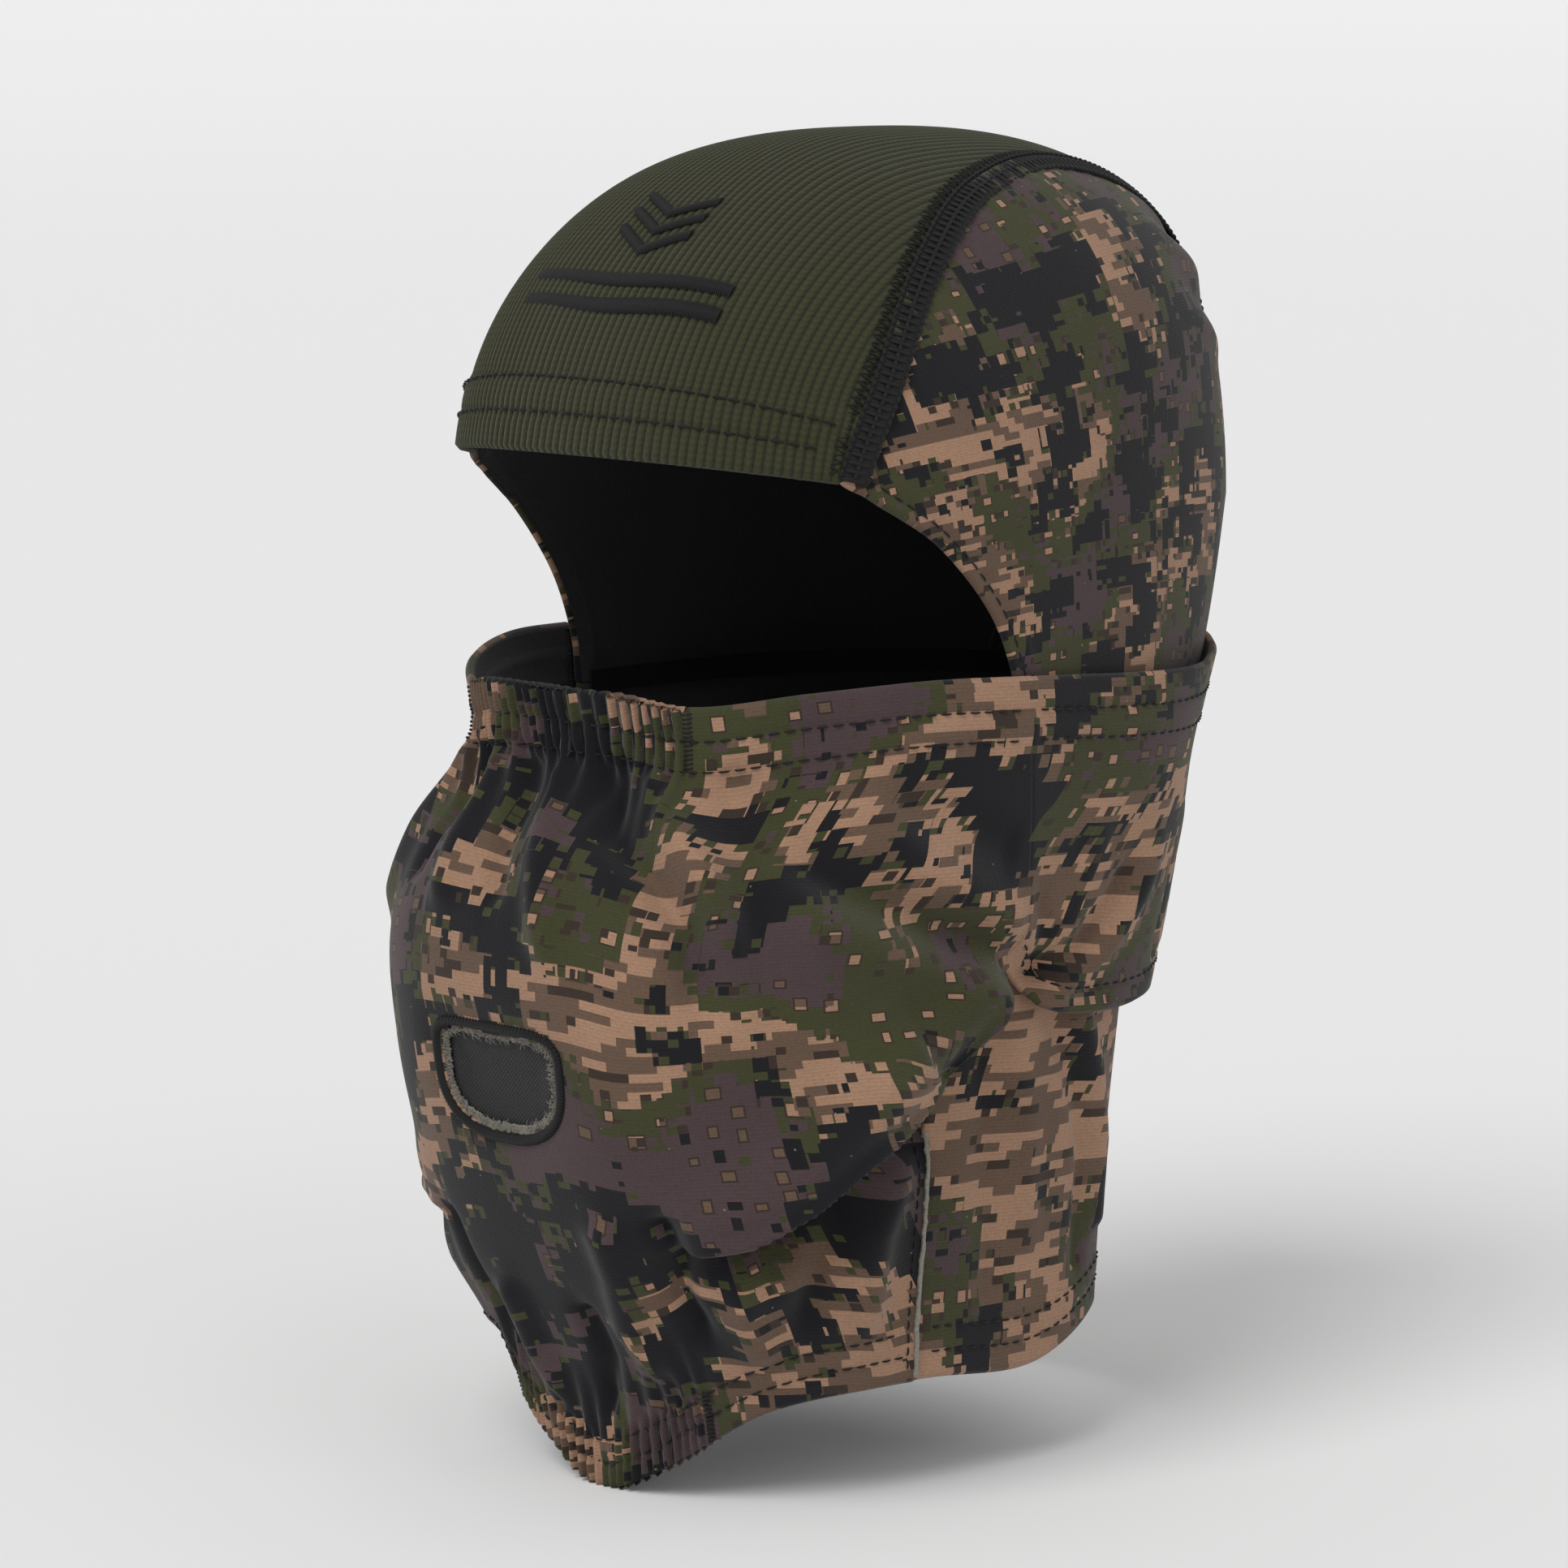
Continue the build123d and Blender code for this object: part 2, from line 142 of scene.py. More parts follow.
def unit(v: np.ndarray) -> np.ndarray:
    """Vectors scaled to length 1."""
    return v / np.maximum(np.linalg.norm(v, axis=-1, keepdims=True), 1e-9)


def soft_noise(x: np.ndarray, y: np.ndarray, seed: int, waves: int = 7) -> np.ndarray:
    """Gentle uneven field of about -1 to 1, from a few seeded waves.

    Args:
        x: first coordinate, in units of the longest wave.
        y: second coordinate.
        seed: seed of the waves.
        waves: number of waves.

    Returns:
        The field, in the shape of x.
    """
    rng = np.random.default_rng(seed)
    total = np.zeros(np.broadcast(x, y).shape)
    for _ in range(waves):
        turn, phase = rng.uniform(0, 2 * math.pi, 2)
        rate = rng.uniform(2.0, 6.5)
        total += np.sin(rate * (x * math.cos(turn) + y * math.sin(turn)) + phase)
    return total / math.sqrt(waves)


def distance_to_line(x: np.ndarray, y: np.ndarray, line: list[tuple]) -> tuple:
    """Signed distance to a line of points, and the share of the way along it.

    Args:
        x: first coordinate, in millimetres.
        y: second coordinate, in millimetres.
        line: points of the line.

    Returns:
        Distance, positive to the left of the line's direction, and share from 0 to 1.
    """
    points = np.array(line, float)
    best = np.full(x.shape, 1e9)
    signed = np.zeros(x.shape)
    share = np.zeros(x.shape)
    lengths = np.linalg.norm(np.diff(points, axis=0), axis=1)
    walked = np.concatenate([[0], np.cumsum(lengths)])
    for i, length in enumerate(lengths):
        ax, ay = points[i]
        dx, dy = (points[i + 1] - points[i]) / length
        along = np.clip((x - ax) * dx + (y - ay) * dy, 0, length)
        gap = np.hypot(x - ax - along * dx, y - ay - along * dy)
        side = np.sign(dx * (y - ay) - dy * (x - ax))
        near = gap < best
        best = np.where(near, gap, best)
        signed = np.where(near, gap * side, signed)
        share = np.where(near, (walked[i] + along) / walked[-1], share)
    return signed, share


# ------------------------------------------------------------------ the body under the cloth
@dataclass(frozen=True)
class Form:
    """A rounded body that the cloth is stretched over.

    Each section is (height, half width, front depth, back depth, front squareness).
    """

    sections: tuple
    domed: bool = False
    dome_height: float = 93.0
    dome_squareness: float = 2.8
    brow_squareness: float = 2.2
    back_squareness: float = 2.15

    @property
    def top(self) -> float:
        """Height of the highest section, where a dome begins."""
        return max(row[0] for row in self.sections)

    def level(self, p: np.ndarray) -> np.ndarray:
        """Below 1 inside the form and above 1 outside it.

        Args:
            p: points to test.

        Returns:
            The level at each point.
        """
        z = np.minimum(p[..., 2], self.top)
        rows = list(self.sections)
        front = p[..., 1] < 0
        depth = np.where(front, smooth_table(rows, z, 2), smooth_table(rows, z, 3))
        square = np.where(front, smooth_table(rows, z, 4), self.back_squareness)
        across = np.abs(p[..., 0] / smooth_table(rows, z, 1)) ** square
        ring = (across + np.abs(p[..., 1] / depth) ** square) ** (1 / square)
        if not self.domed:
            return ring
        rise = np.maximum(p[..., 2] - self.top, 0) / self.dome_height
        back = smoothstep(-75, 25, p[..., 1])
        m = self.brow_squareness + (self.dome_squareness - self.brow_squareness) * back
        return (ring**m + rise**m) ** (1 / m)

    def hit(self, start: np.ndarray, toward: np.ndarray) -> np.ndarray:
        """Points where rays from inside the form leave it.

        Args:
            start: points inside the form.
            toward: directions of the rays.

        Returns:
            The points.
        """
        low = np.zeros(toward.shape[:-1])
        high = np.full(toward.shape[:-1], 220.0)
        for _ in range(34):
            middle = (low + high) / 2
            inside = self.level(start + toward * middle[..., None]) < 1
            low = np.where(inside, middle, low)
            high = np.where(inside, high, middle)
        return start + toward * low[..., None]

    def round(self, angle: np.ndarray, z: np.ndarray) -> np.ndarray:
        """Points at a height, by their angle in degrees from straight ahead.

        Args:
            angle: degrees from straight ahead.
            z: heights in millimetres.

        Returns:
            The points.
        """
        turn = np.radians(angle)
        turn, z = np.broadcast_arrays(turn, np.asarray(z, float))
        toward = np.stack([np.sin(turn), -np.cos(turn), np.zeros_like(turn)], -1)
        start = np.stack([np.zeros_like(z), np.zeros_like(z), z], -1)
        return self.hit(start, toward)


HOOD_FORM = Form(
    (
        (40, 81.0, 104.0, 102.0, 2.6),
        (0, 80.5, 100.0, 92.5, 2.3),
        (-20, 79.0, 98.0, 80.5, 2.3),
        (-40, 76.0, 98.0, 76.0, 2.3),
        (-60, 73.0, 98.0, 69.0, 2.3),
        (-87, 70.0, 98.0, 61.0, 2.3),
        (-120, 66.0, 98.0, 56.0, 2.5),
        (-150, 63.0, 98.0, 56.0, 2.8),
        (-185, 62.0, 83.0, 57.0, 2.6),
        (-215, 62.0, 76.0, 58.0, 2.4),
    ),
    domed=True,
)
MASK_FORM = Form(
    (
        (6, 85.2, 109.5, 97.2, 2.0),
        (-20, 83.5, 107.0, 85.5, 2.1),
        (-40, 82.0, 121.0, 81.0, 2.4),
        (-62, 80.0, 127.0, 74.0, 2.8),
        (-88, 77.0, 125.0, 66.5, 3.0),
        (-110, 74.0, 121.0, 62.0, 3.0),
        (-140, 69.5, 110.5, 60.5, 3.0),
        (-165, 65.5, 96.5, 60.0, 2.8),
        (-185, 64.0, 90.0, 60.0, 2.6),
        (-215, 62.5, 87.0, 60.0, 2.4),
    )
)


# ------------------------------------------------------------------ meshes
def write_mesh(name: str, verts: np.ndarray, faces: np.ndarray, uv: np.ndarray | None = None,
               slots: np.ndarray | None = None) -> bpy.types.Object:
    """Make one smooth object from arrays.

    Args:
        name: name of the piece.
        verts: points in millimetres.
        faces: quads of vertex numbers.
        uv: cloth coordinate of each vertex, in millimetres.
        slots: material number of each face.

    Returns:
        The linked object.
    """
    mesh = bpy.data.meshes.new(name)
    mesh.from_pydata((verts * MM).tolist(), [], faces.tolist())
    if uv is not None:
        layer = mesh.uv_layers.new(name=CLOTH_MAP)
        corner = np.empty(len(mesh.loops), np.int32)
        mesh.loops.foreach_get("vertex_index", corner)
        layer.uv.foreach_set("vector", uv[corner].astype(np.float32).ravel())
    if slots is not None:
        mesh.polygons.foreach_set("material_index", slots.astype(np.int32))
    mesh.shade_smooth()
    mesh.update()
    piece = bpy.data.objects.new(name, mesh)
    bpy.context.collection.objects.link(piece)
    return piece


def grid_faces(rows: int, columns: int, first: int = 0) -> np.ndarray:
    """Quads of a grid of vertices numbered row by row.

    Args:
        rows: rows of vertices.
        columns: columns of vertices.
        first: number of the first vertex.

    Returns:
        Four vertex numbers for each quad.
    """
    i, j = np.meshgrid(np.arange(rows - 1), np.arange(columns - 1), indexing="ij")
    a = first + i * columns + j
    return np.stack([a, a + 1, a + 1 + columns, a + columns], -1).reshape(-1, 4)


@dataclass
class Panel:
    """A cut of cloth as a grid of points over a form."""

    points: np.ndarray
    uv: np.ndarray
    thickness: np.ndarray | float
    outward_from: tuple = (0.0, 0.0, 0.0)
    keep: np.ndarray | None = None
    normals: np.ndarray = field(init=False)

    def __post_init__(self) -> None:
        """Work out the outward direction at each point."""
        across = np.gradient(self.points, axis=1)
        down = np.gradient(self.points, axis=0)
        normal = unit(np.cross(across, down))
        centre = np.array(self.outward_from)
        rows, columns = self.points.shape[:2]
        probe = self.points[rows // 2, columns // 2] - centre
        if np.dot(normal[rows // 2, columns // 2], probe) < 0:
            normal = -normal
        self.normals = normal

    def at(self, u: np.ndarray, v: np.ndarray) -> tuple[np.ndarray, np.ndarray]:
        """Points and outward directions at shares across (u) and down (v).

        Args:
            u: shares across.
            v: shares down.

        Returns:
            The points and the directions.
        """
        rows, columns = self.points.shape[:2]
        x = np.clip(np.asarray(u, float), 0, 1) * (columns - 1)
        y = np.clip(np.asarray(v, float), 0, 1) * (rows - 1)
        j = np.minimum(x.astype(int), columns - 2)
        i = np.minimum(y.astype(int), rows - 2)
        s = (x - j)[..., None]
        t = (y - i)[..., None]

        def mix(grid: np.ndarray) -> np.ndarray:
            """Bilinear reading of a grid.

            Args:
                grid: values on the grid of the cloth.

            Returns:
                The readings.
            """
            upper = grid[i, j] * (1 - s) + grid[i, j + 1] * s
            lower = grid[i + 1, j] * (1 - s) + grid[i + 1, j + 1] * s
            return upper * (1 - t) + lower * t

        return mix(self.points), unit(mix(self.normals))

    def build(self, name: str) -> bpy.types.Object:
        """Make the closed cloth with a rounded rim; its lining is the second material.

        Args:
            name: name of the piece.

        Returns:
            The object.
        """
        rows, columns = self.points.shape[:2]
        count = rows * columns
        thick = np.broadcast_to(np.asarray(self.thickness, float), (rows, columns))
        inner = self.points - self.normals * thick[..., None]
        outer_faces = grid_faces(rows, columns)
        inner_faces = grid_faces(rows, columns, count)[:, ::-1]
        if self.keep is not None:
            outer_faces = outer_faces[self.keep.ravel()]
            inner_faces = inner_faces[self.keep.ravel()]
        verts = [self.points.reshape(-1, 3), inner.reshape(-1, 3)]
        uvs = [self.uv.reshape(-1, 2), self.uv.reshape(-1, 2)]
        edges = self._open_edges(outer_faces)
        start = edges[:, 0]
        outward = self._rim_direction(edges, verts[0])
        middle = (verts[0][start] + verts[1][start]) / 2 + outward * thick.ravel()[start, None] * 0.45
        verts.append(middle)
        uvs.append(uvs[0][start])
        rim_of = np.full(count, -1)
        rim_of[start] = 2 * count + np.arange(len(start))
        a, b = edges[:, 0], edges[:, 1]
        upper = np.stack([b, a, rim_of[a], rim_of[b]], -1)
        lower = np.stack([rim_of[b], rim_of[a], a + count, b + count], -1)
        faces = np.concatenate([outer_faces, inner_faces, upper, lower])
        slots = np.concatenate([
            np.zeros(len(outer_faces)), np.ones(len(inner_faces)),
            np.full(len(upper), 2), np.full(len(lower), 2),
        ])
        verts, faces, uvs = self._drop_loose(np.concatenate(verts), faces, np.concatenate(uvs))
        piece = write_mesh(name, verts, faces, uvs, slots)
        self._face_out(piece)
        return piece

    @staticmethod
    def _open_edges(faces: np.ndarray) -> np.ndarray:
        """Directed edges that only one face has.

        Args:
            faces: faces as vertex numbers.

        Returns:
            Two vertex numbers for each edge.
        """
        pairs = np.concatenate([faces[:, [k, (k + 1) % 4]] for k in range(4)])
        key = np.sort(pairs, axis=1)
        _, index, counts = np.unique(key, axis=0, return_index=True, return_counts=True)
        return pairs[index[counts == 1]]

    def _rim_direction(self, edges: np.ndarray, verts: np.ndarray) -> np.ndarray:
        """Direction out of the cloth, in its plane, at the start of each open edge.

        Args:
            edges: open edges as vertex numbers.
            verts: vertices.

        Returns:
            One unit direction for each edge.
        """
        normal = self.normals.reshape(-1, 3)
        along = np.zeros_like(verts)
        step = verts[edges[:, 1]] - verts[edges[:, 0]]
        np.add.at(along, edges[:, 0], step)
        np.add.at(along, edges[:, 1], step)
        out = np.cross(along, normal)
        flip = np.sign(np.dot(
            np.cross(self.points[1, 0] - self.points[0, 0], self.points[0, 1] - self.points[0, 0]),
            self.normals[0, 0],
        ))
        return unit(out[edges[:, 0]]) * -flip

    @staticmethod
    def _drop_loose(verts: np.ndarray, faces: np.ndarray, uvs: np.ndarray) -> tuple:
        """Leave out vertices that no face uses.

        Args:
            verts: vertices.
            faces: faces as vertex numbers.
            uvs: cloth coordinates.

        Returns:
            The vertices, faces and coordinates left.
        """
        used = np.unique(faces)
        number = np.full(len(verts), -1)
        number[used] = np.arange(len(used))
        return verts[used], number[faces], uvs[used]

    @staticmethod
    def _face_out(piece: bpy.types.Object) -> None:
        """Turn all faces outwards.

        Args:
            piece: the object to mend.
        """
        work = bmesh.new()
        work.from_mesh(piece.data)
        bmesh.ops.recalc_face_normals(work, faces=work.faces)
        work.to_mesh(piece.data)
        work.free()


def arc_uv(points: np.ndarray, origin: tuple = (0.0, 0.0)) -> np.ndarray:
    """Cloth coordinates of a grid: lengths along its rows and down its columns.

    Args:
        points: grid of points, in millimetres.
        origin: place of the first point on the printed cloth.

    Returns:
        Grid of coordinates in millimetres.
    """
    across = np.linalg.norm(np.diff(points, axis=1), axis=2)
    down = np.linalg.norm(np.diff(points, axis=0), axis=2)
    u = np.concatenate([np.zeros((len(points), 1)), np.cumsum(across, 1)], 1)
    v = np.concatenate([np.zeros((1, points.shape[1])), np.cumsum(down, 0)], 0)
    u = u - u[:, u.shape[1] // 2: u.shape[1] // 2 + 1]
    return np.stack([u + origin[0], origin[1] - v], -1)


def dome_uv(points: np.ndarray, origin: tuple, size: float, pivot: tuple = (0.0, 0.0, 30.0)) -> np.ndarray:
    """Cloth coordinates of a dome-shaped panel, spread out evenly from its middle.

    Args:
        points: grid of points, in millimetres.
        origin: place of the middle on the printed cloth.
        size: printed length for each millimetre of cloth; above 1 the print looks finer.
        pivot: middle of the dome.

    Returns:
        Grid of coordinates in millimetres.
    """
    arms = points - np.array(pivot)
    radius = np.linalg.norm(arms, axis=-1).mean()
    toward = unit(arms)
    centre = unit(toward.mean(axis=(0, 1)))
    aside = unit(np.cross([0.0, 0.0, 1.0], centre))
    up = np.cross(centre, aside)
    turn = np.arccos(np.clip(toward @ centre, -1, 1))
    scale = size * radius * turn / np.maximum(np.sin(turn), 1e-6)
    return np.stack([toward @ aside * scale + origin[0], toward @ up * scale + origin[1]], -1)


def resample(points: np.ndarray, normals: np.ndarray, pitch: float) -> tuple:
    """Even points along a line.

    Args:
        points: points of the line.
        normals: outward directions there.
        pitch: wanted distance between points.

    Returns:
        Points, directions and the distance walked at each.
    """
    walked = np.concatenate([[0], np.cumsum(np.linalg.norm(np.diff(points, axis=0), axis=1))])
    count = max(int(walked[-1] / pitch), 2)
    at = np.linspace(0, walked[-1], count + 1)
    even = np.stack([np.interp(at, walked, points[:, k]) for k in range(3)], -1)
    out = unit(np.stack([np.interp(at, walked, normals[:, k]) for k in range(3)], -1))
    return even, out, at


def tube_rings(centres: np.ndarray, normals: np.ndarray, half_width: np.ndarray,
               half_height: np.ndarray, sides: int) -> np.ndarray:
    """Oval rings round a line of centres.

    Args:
        centres: points of the line.
        normals: outward directions along it.
        half_width: half the width of the thread.
        half_height: half its height.
        sides: points round each ring.

    Returns:
        The points of the rings.
    """
    along = unit(np.gradient(centres, axis=0))
    aside = unit(np.cross(along, normals))
    up = unit(np.cross(aside, along))
    turn = np.linspace(0, 2 * math.pi, sides, endpoint=False)
    wide = aside[:, None] * (np.cos(turn)[None, :, None] * half_width[:, None, None])
    tall = up[:, None] * (np.sin(turn)[None, :, None] * half_height[:, None, None])
    return centres[:, None] + wide + tall


def ring_faces(rings: int, sides: int, first: int) -> list:
    """Quads between rings, and the two end caps as quads.

    Args:
        rings: number of rings.
        sides: points round each ring.
        first: number of the first vertex.

    Returns:
        Four vertex numbers for each face.
    """
    faces = []
    for i in range(rings - 1):
        for k in range(sides):
            a = first + i * sides + k
            b = first + i * sides + (k + 1) % sides
            faces.append((a, b, b + sides, a + sides))
    for start in (first, first + (rings - 1) * sides):
        for k in range(1, sides - 2, 2):
            faces.append((start, start + k, start + k + 1, start + k + 2))
    return faces


class ThreadWork:
    """Many short threads collected into one mesh."""

    SIDES = 6

    def __init__(self) -> None:
        """Start with no thread."""
        self.verts: list[np.ndarray] = []
        self.faces: list = []
        self.count = 0

    def strand(self, centres: np.ndarray, normals: np.ndarray, width: float, taper: float = 0.35) -> None:
        """Add one thread along a line of centres, thinner at its ends.

        Args:
            centres: points of the line.
            normals: outward directions along it.
            width: width of the thread.
            taper: whether the ends grow thin.
        """
        share = np.linspace(-1, 1, len(centres))
        half = width / 2 * (1 - (1 - taper) * np.abs(share) ** 4)
        rings = tube_rings(centres, normals, half, half * 0.85, self.SIDES)
        self.faces += ring_faces(len(centres), self.SIDES, self.count)
        self.verts.append(rings.reshape(-1, 3))
        self.count += rings.shape[0] * self.SIDES

    def stitch(self, a: np.ndarray, b: np.ndarray, normal: np.ndarray, width: float,
               rise: float, sink: float = 0.25) -> None:
        """Add one arched stitch from a to b.

        Args:
            a: start of the stitch.
            b: end of the stitch.
            normal: outward direction.
            width: width of the thread.
            rise: height of the arch.
            sink: how deep its ends dive.
        """
        share = np.linspace(0, 1, 6)
        arch = np.sin(share * math.pi)[:, None] * (rise + sink) - sink
        centres = a + (b - a) * share[:, None] + normal * arch
        self.strand(centres, np.repeat(normal[None], 6, 0), width)

    def row(self, points: np.ndarray, normals: np.ndarray, length: float = 3.0, gap: float = 0.9,
            width: float = 0.55, rise: float = 0.32) -> None:
        """Add a running row of stitches along a line.

        Args:
            points: points of the line.
            normals: outward directions along it.
            length: length of a stitch.
            gap: space between two stitches.
            width: width of the thread.
            rise: height of the arch.
        """
        even, out, at = resample(points, normals, 0.4)
        start = 0.3
        while start + length < at[-1]:
            ends = [
                np.array([np.interp(s, at, even[:, k]) for k in range(3)]) for s in (start, start + length)
            ]
            middle = np.searchsorted(at, start + length / 2)
            self.stitch(ends[0], ends[1], out[middle], width, rise)
            start += length + gap

    def build(self, name: str) -> bpy.types.Object:
        """Make the object."""
        return write_mesh(name, np.concatenate(self.verts), np.array(self.faces))


def strip(name: str, points: np.ndarray, normals: np.ndarray, width: float, thick: float,
          lift: float = 0.0, wobble: float = 0.0, seed: int = 1) -> bpy.types.Object:
    """A flat band with rounded edges along a line.

    Args:
        name: name of the piece.
        points: points of the line.
        normals: outward directions.
        width: width of the band.
        thick: thickness of the band.
        lift: height of its underside over the line; below zero it lies inside.
        wobble: unevenness of its edges.
        seed: seed of that unevenness.

    Returns:
        The object.
    """
    even, out, at = resample(points, normals, 1.2)
    along = unit(np.gradient(even, axis=0))
    aside = unit(np.cross(along, out))
    profile = [(-0.5, 0.5), (-0.47, 0.85), (-0.4, 1.0), (-0.15, 1.05), (0.15, 1.05), (0.4, 1.0),
               (0.47, 0.85), (0.5, 0.5), (0.47, 0.12), (0.3, 0.0), (-0.3, 0.0), (-0.47, 0.12)]
    rng = np.random.default_rng(seed)
    edge = rng.normal(0, wobble, (len(even), 2))
    verts = np.empty((len(even), len(profile), 3))
    uv = np.empty((len(even), len(profile), 2))
    for k, (across, up) in enumerate(profile):
        spread = across * width + np.where(across > 0, edge[:, 0], edge[:, 1]) * (abs(across) > 0.45)
        verts[:, k] = even + aside * spread[:, None] + out * (lift + up * thick)
        uv[:, k] = np.stack([at, spread], -1)
    sides = len(profile)
    faces = np.array(ring_faces(len(even), sides, 0))
    return write_mesh(name, verts.reshape(-1, 3), faces, uv.reshape(-1, 2))


# ------------------------------------------------------------------ materials
def linear(colour: str) -> tuple[float, float, float, float]:
    """Linear colour of an sRGB hex colour.

    Args:
        colour: sRGB hex value.

    Returns:
        Red, green, blue and alpha.
    """
    parts = [int(colour[i:i + 2], 16) / 255 for i in (1, 3, 5)]
    parts = [c / 12.92 if c <= 0.04045 else ((c + 0.055) / 1.055) ** 2.4 for c in parts]
    return (*parts, 1.0)


def add_node(tree: bpy.types.NodeTree, kind: str, inputs: dict | None = None, **settings) -> bpy.types.Node:
    """Add a node with its settings, and set or link its inputs.

    Args:
        tree: tree that gets the node.
        kind: type of the node.
        inputs: value, or output socket to link, by name or number of the input.
        settings: attributes of the node.

    Returns:
        The node.
    """
    node = tree.nodes.new(kind)
    for key, value in settings.items():
        setattr(node, key, value)
    for key, value in (inputs or {}).items():
        socket = node.inputs[key]
        if isinstance(value, bpy.types.NodeSocket):
            tree.links.new(value, socket)
        else:
            socket.default_value = value
    return node


class Finish:
    """Base of the cloth finishes: holds the tree while a material is made."""

    def __init__(self, name: str) -> None:
        """Start an empty material.

        Args:
            name: name of the material.
        """
        self.material = bpy.data.materials.new(name)
        self.material.use_nodes = True
        self.tree = self.material.node_tree
        self.tree.nodes.clear()
        self.cloth = add_node(self.tree, "ShaderNodeUVMap", uv_map=CLOTH_MAP).outputs[0]

    def math(self, operation: str, a: Input, b: Input = 0.0, clamp: bool = False) -> Socket:
        """Result of a math step."""
        return add_node(self.tree, "ShaderNodeMath", {0: a, 1: b}, operation=operation,
                        use_clamp=clamp).outputs[0]

    def vector(self, operation: str, a: Input, b: Input) -> Socket:
        """Result of a vector step."""
        return add_node(self.tree, "ShaderNodeVectorMath", {0: a, 1: b}, operation=operation).outputs[0]

    def noise(self, vector: Socket, size: float, detail: float = 2.0, rough: float = 0.5) -> Socket:
        """Noise whose features are about size wide."""
        inputs = {"Vector": vector, "Scale": 1 / size, "Detail": detail, "Roughness": rough}
        return add_node(self.tree, "ShaderNodeTexNoise", inputs).outputs[0]

    def mix(self, share: Input, a: Input, b: Input) -> Socket:
        """Colour between a and b.

        Args:
            share: 0 gives a, 1 gives b.
            a: first colour.
            b: second colour.

        Returns:
            The colour socket.
        """
        node = add_node(self.tree, "ShaderNodeMix", {0: share}, data_type="RGBA")
        for socket, value in ((node.inputs[6], a), (node.inputs[7], b)):
            if isinstance(value, bpy.types.NodeSocket):
                self.tree.links.new(value, socket)
            else:
                socket.default_value = linear(value)
        return node.outputs[2]

    def blend(self, a: Input, b: Input, c: Input) -> Socket:
        """a times b plus c."""
        return add_node(self.tree, "ShaderNodeMath", {0: a, 1: b, 2: c}, operation="MULTIPLY_ADD").outputs[0]

    def span(self, value: Input, old: tuple, new: tuple) -> Socket:
        """Value moved from one span to another."""
        inputs = {0: value, 1: old[0], 2: old[1], 3: new[0], 4: new[1]}
        return add_node(self.tree, "ShaderNodeMapRange", inputs).outputs[0]

    def chance(self, vector: Socket) -> Socket:
        """One random number for each cell."""
        return add_node(self.tree, "ShaderNodeTexWhiteNoise", {"Vector": vector}).outputs[0]

    def shade(self, colour: Input, height: Optional[Socket], depth: float, roughness: float,
              sheen: float) -> bpy.types.Material:
        """Finish the material as a matt cloth.

        Args:
            colour: colour socket.
            height: relief socket, 0 to 1, or None.
            depth: depth of the relief in millimetres.
            roughness: roughness of the fibres.
            sheen: weight of the fuzz on them.

        Returns:
            The material.
        """
        inputs = {"Base Color": colour, "Roughness": roughness, "Sheen Weight": sheen,
                  "Sheen Roughness": 0.6, "Specular IOR Level": 0.25, "IOR": 1.46}
        if height is not None:
            relief = {"Height": height, "Distance": depth * MM, "Strength": 0.8}
            inputs["Normal"] = add_node(self.tree, "ShaderNodeBump", relief).outputs[0]
        shader = add_node(self.tree, "ShaderNodeBsdfPrincipled", inputs)
        add_node(self.tree, "ShaderNodeOutputMaterial", {0: shader.outputs[0]})
        return self.material


@dataclass(frozen=True)
class Patch:
    """A place on the printed cloth where one colour family is favoured."""

    across: float
    down: float
    wide: float
    tall: float
    amount: float


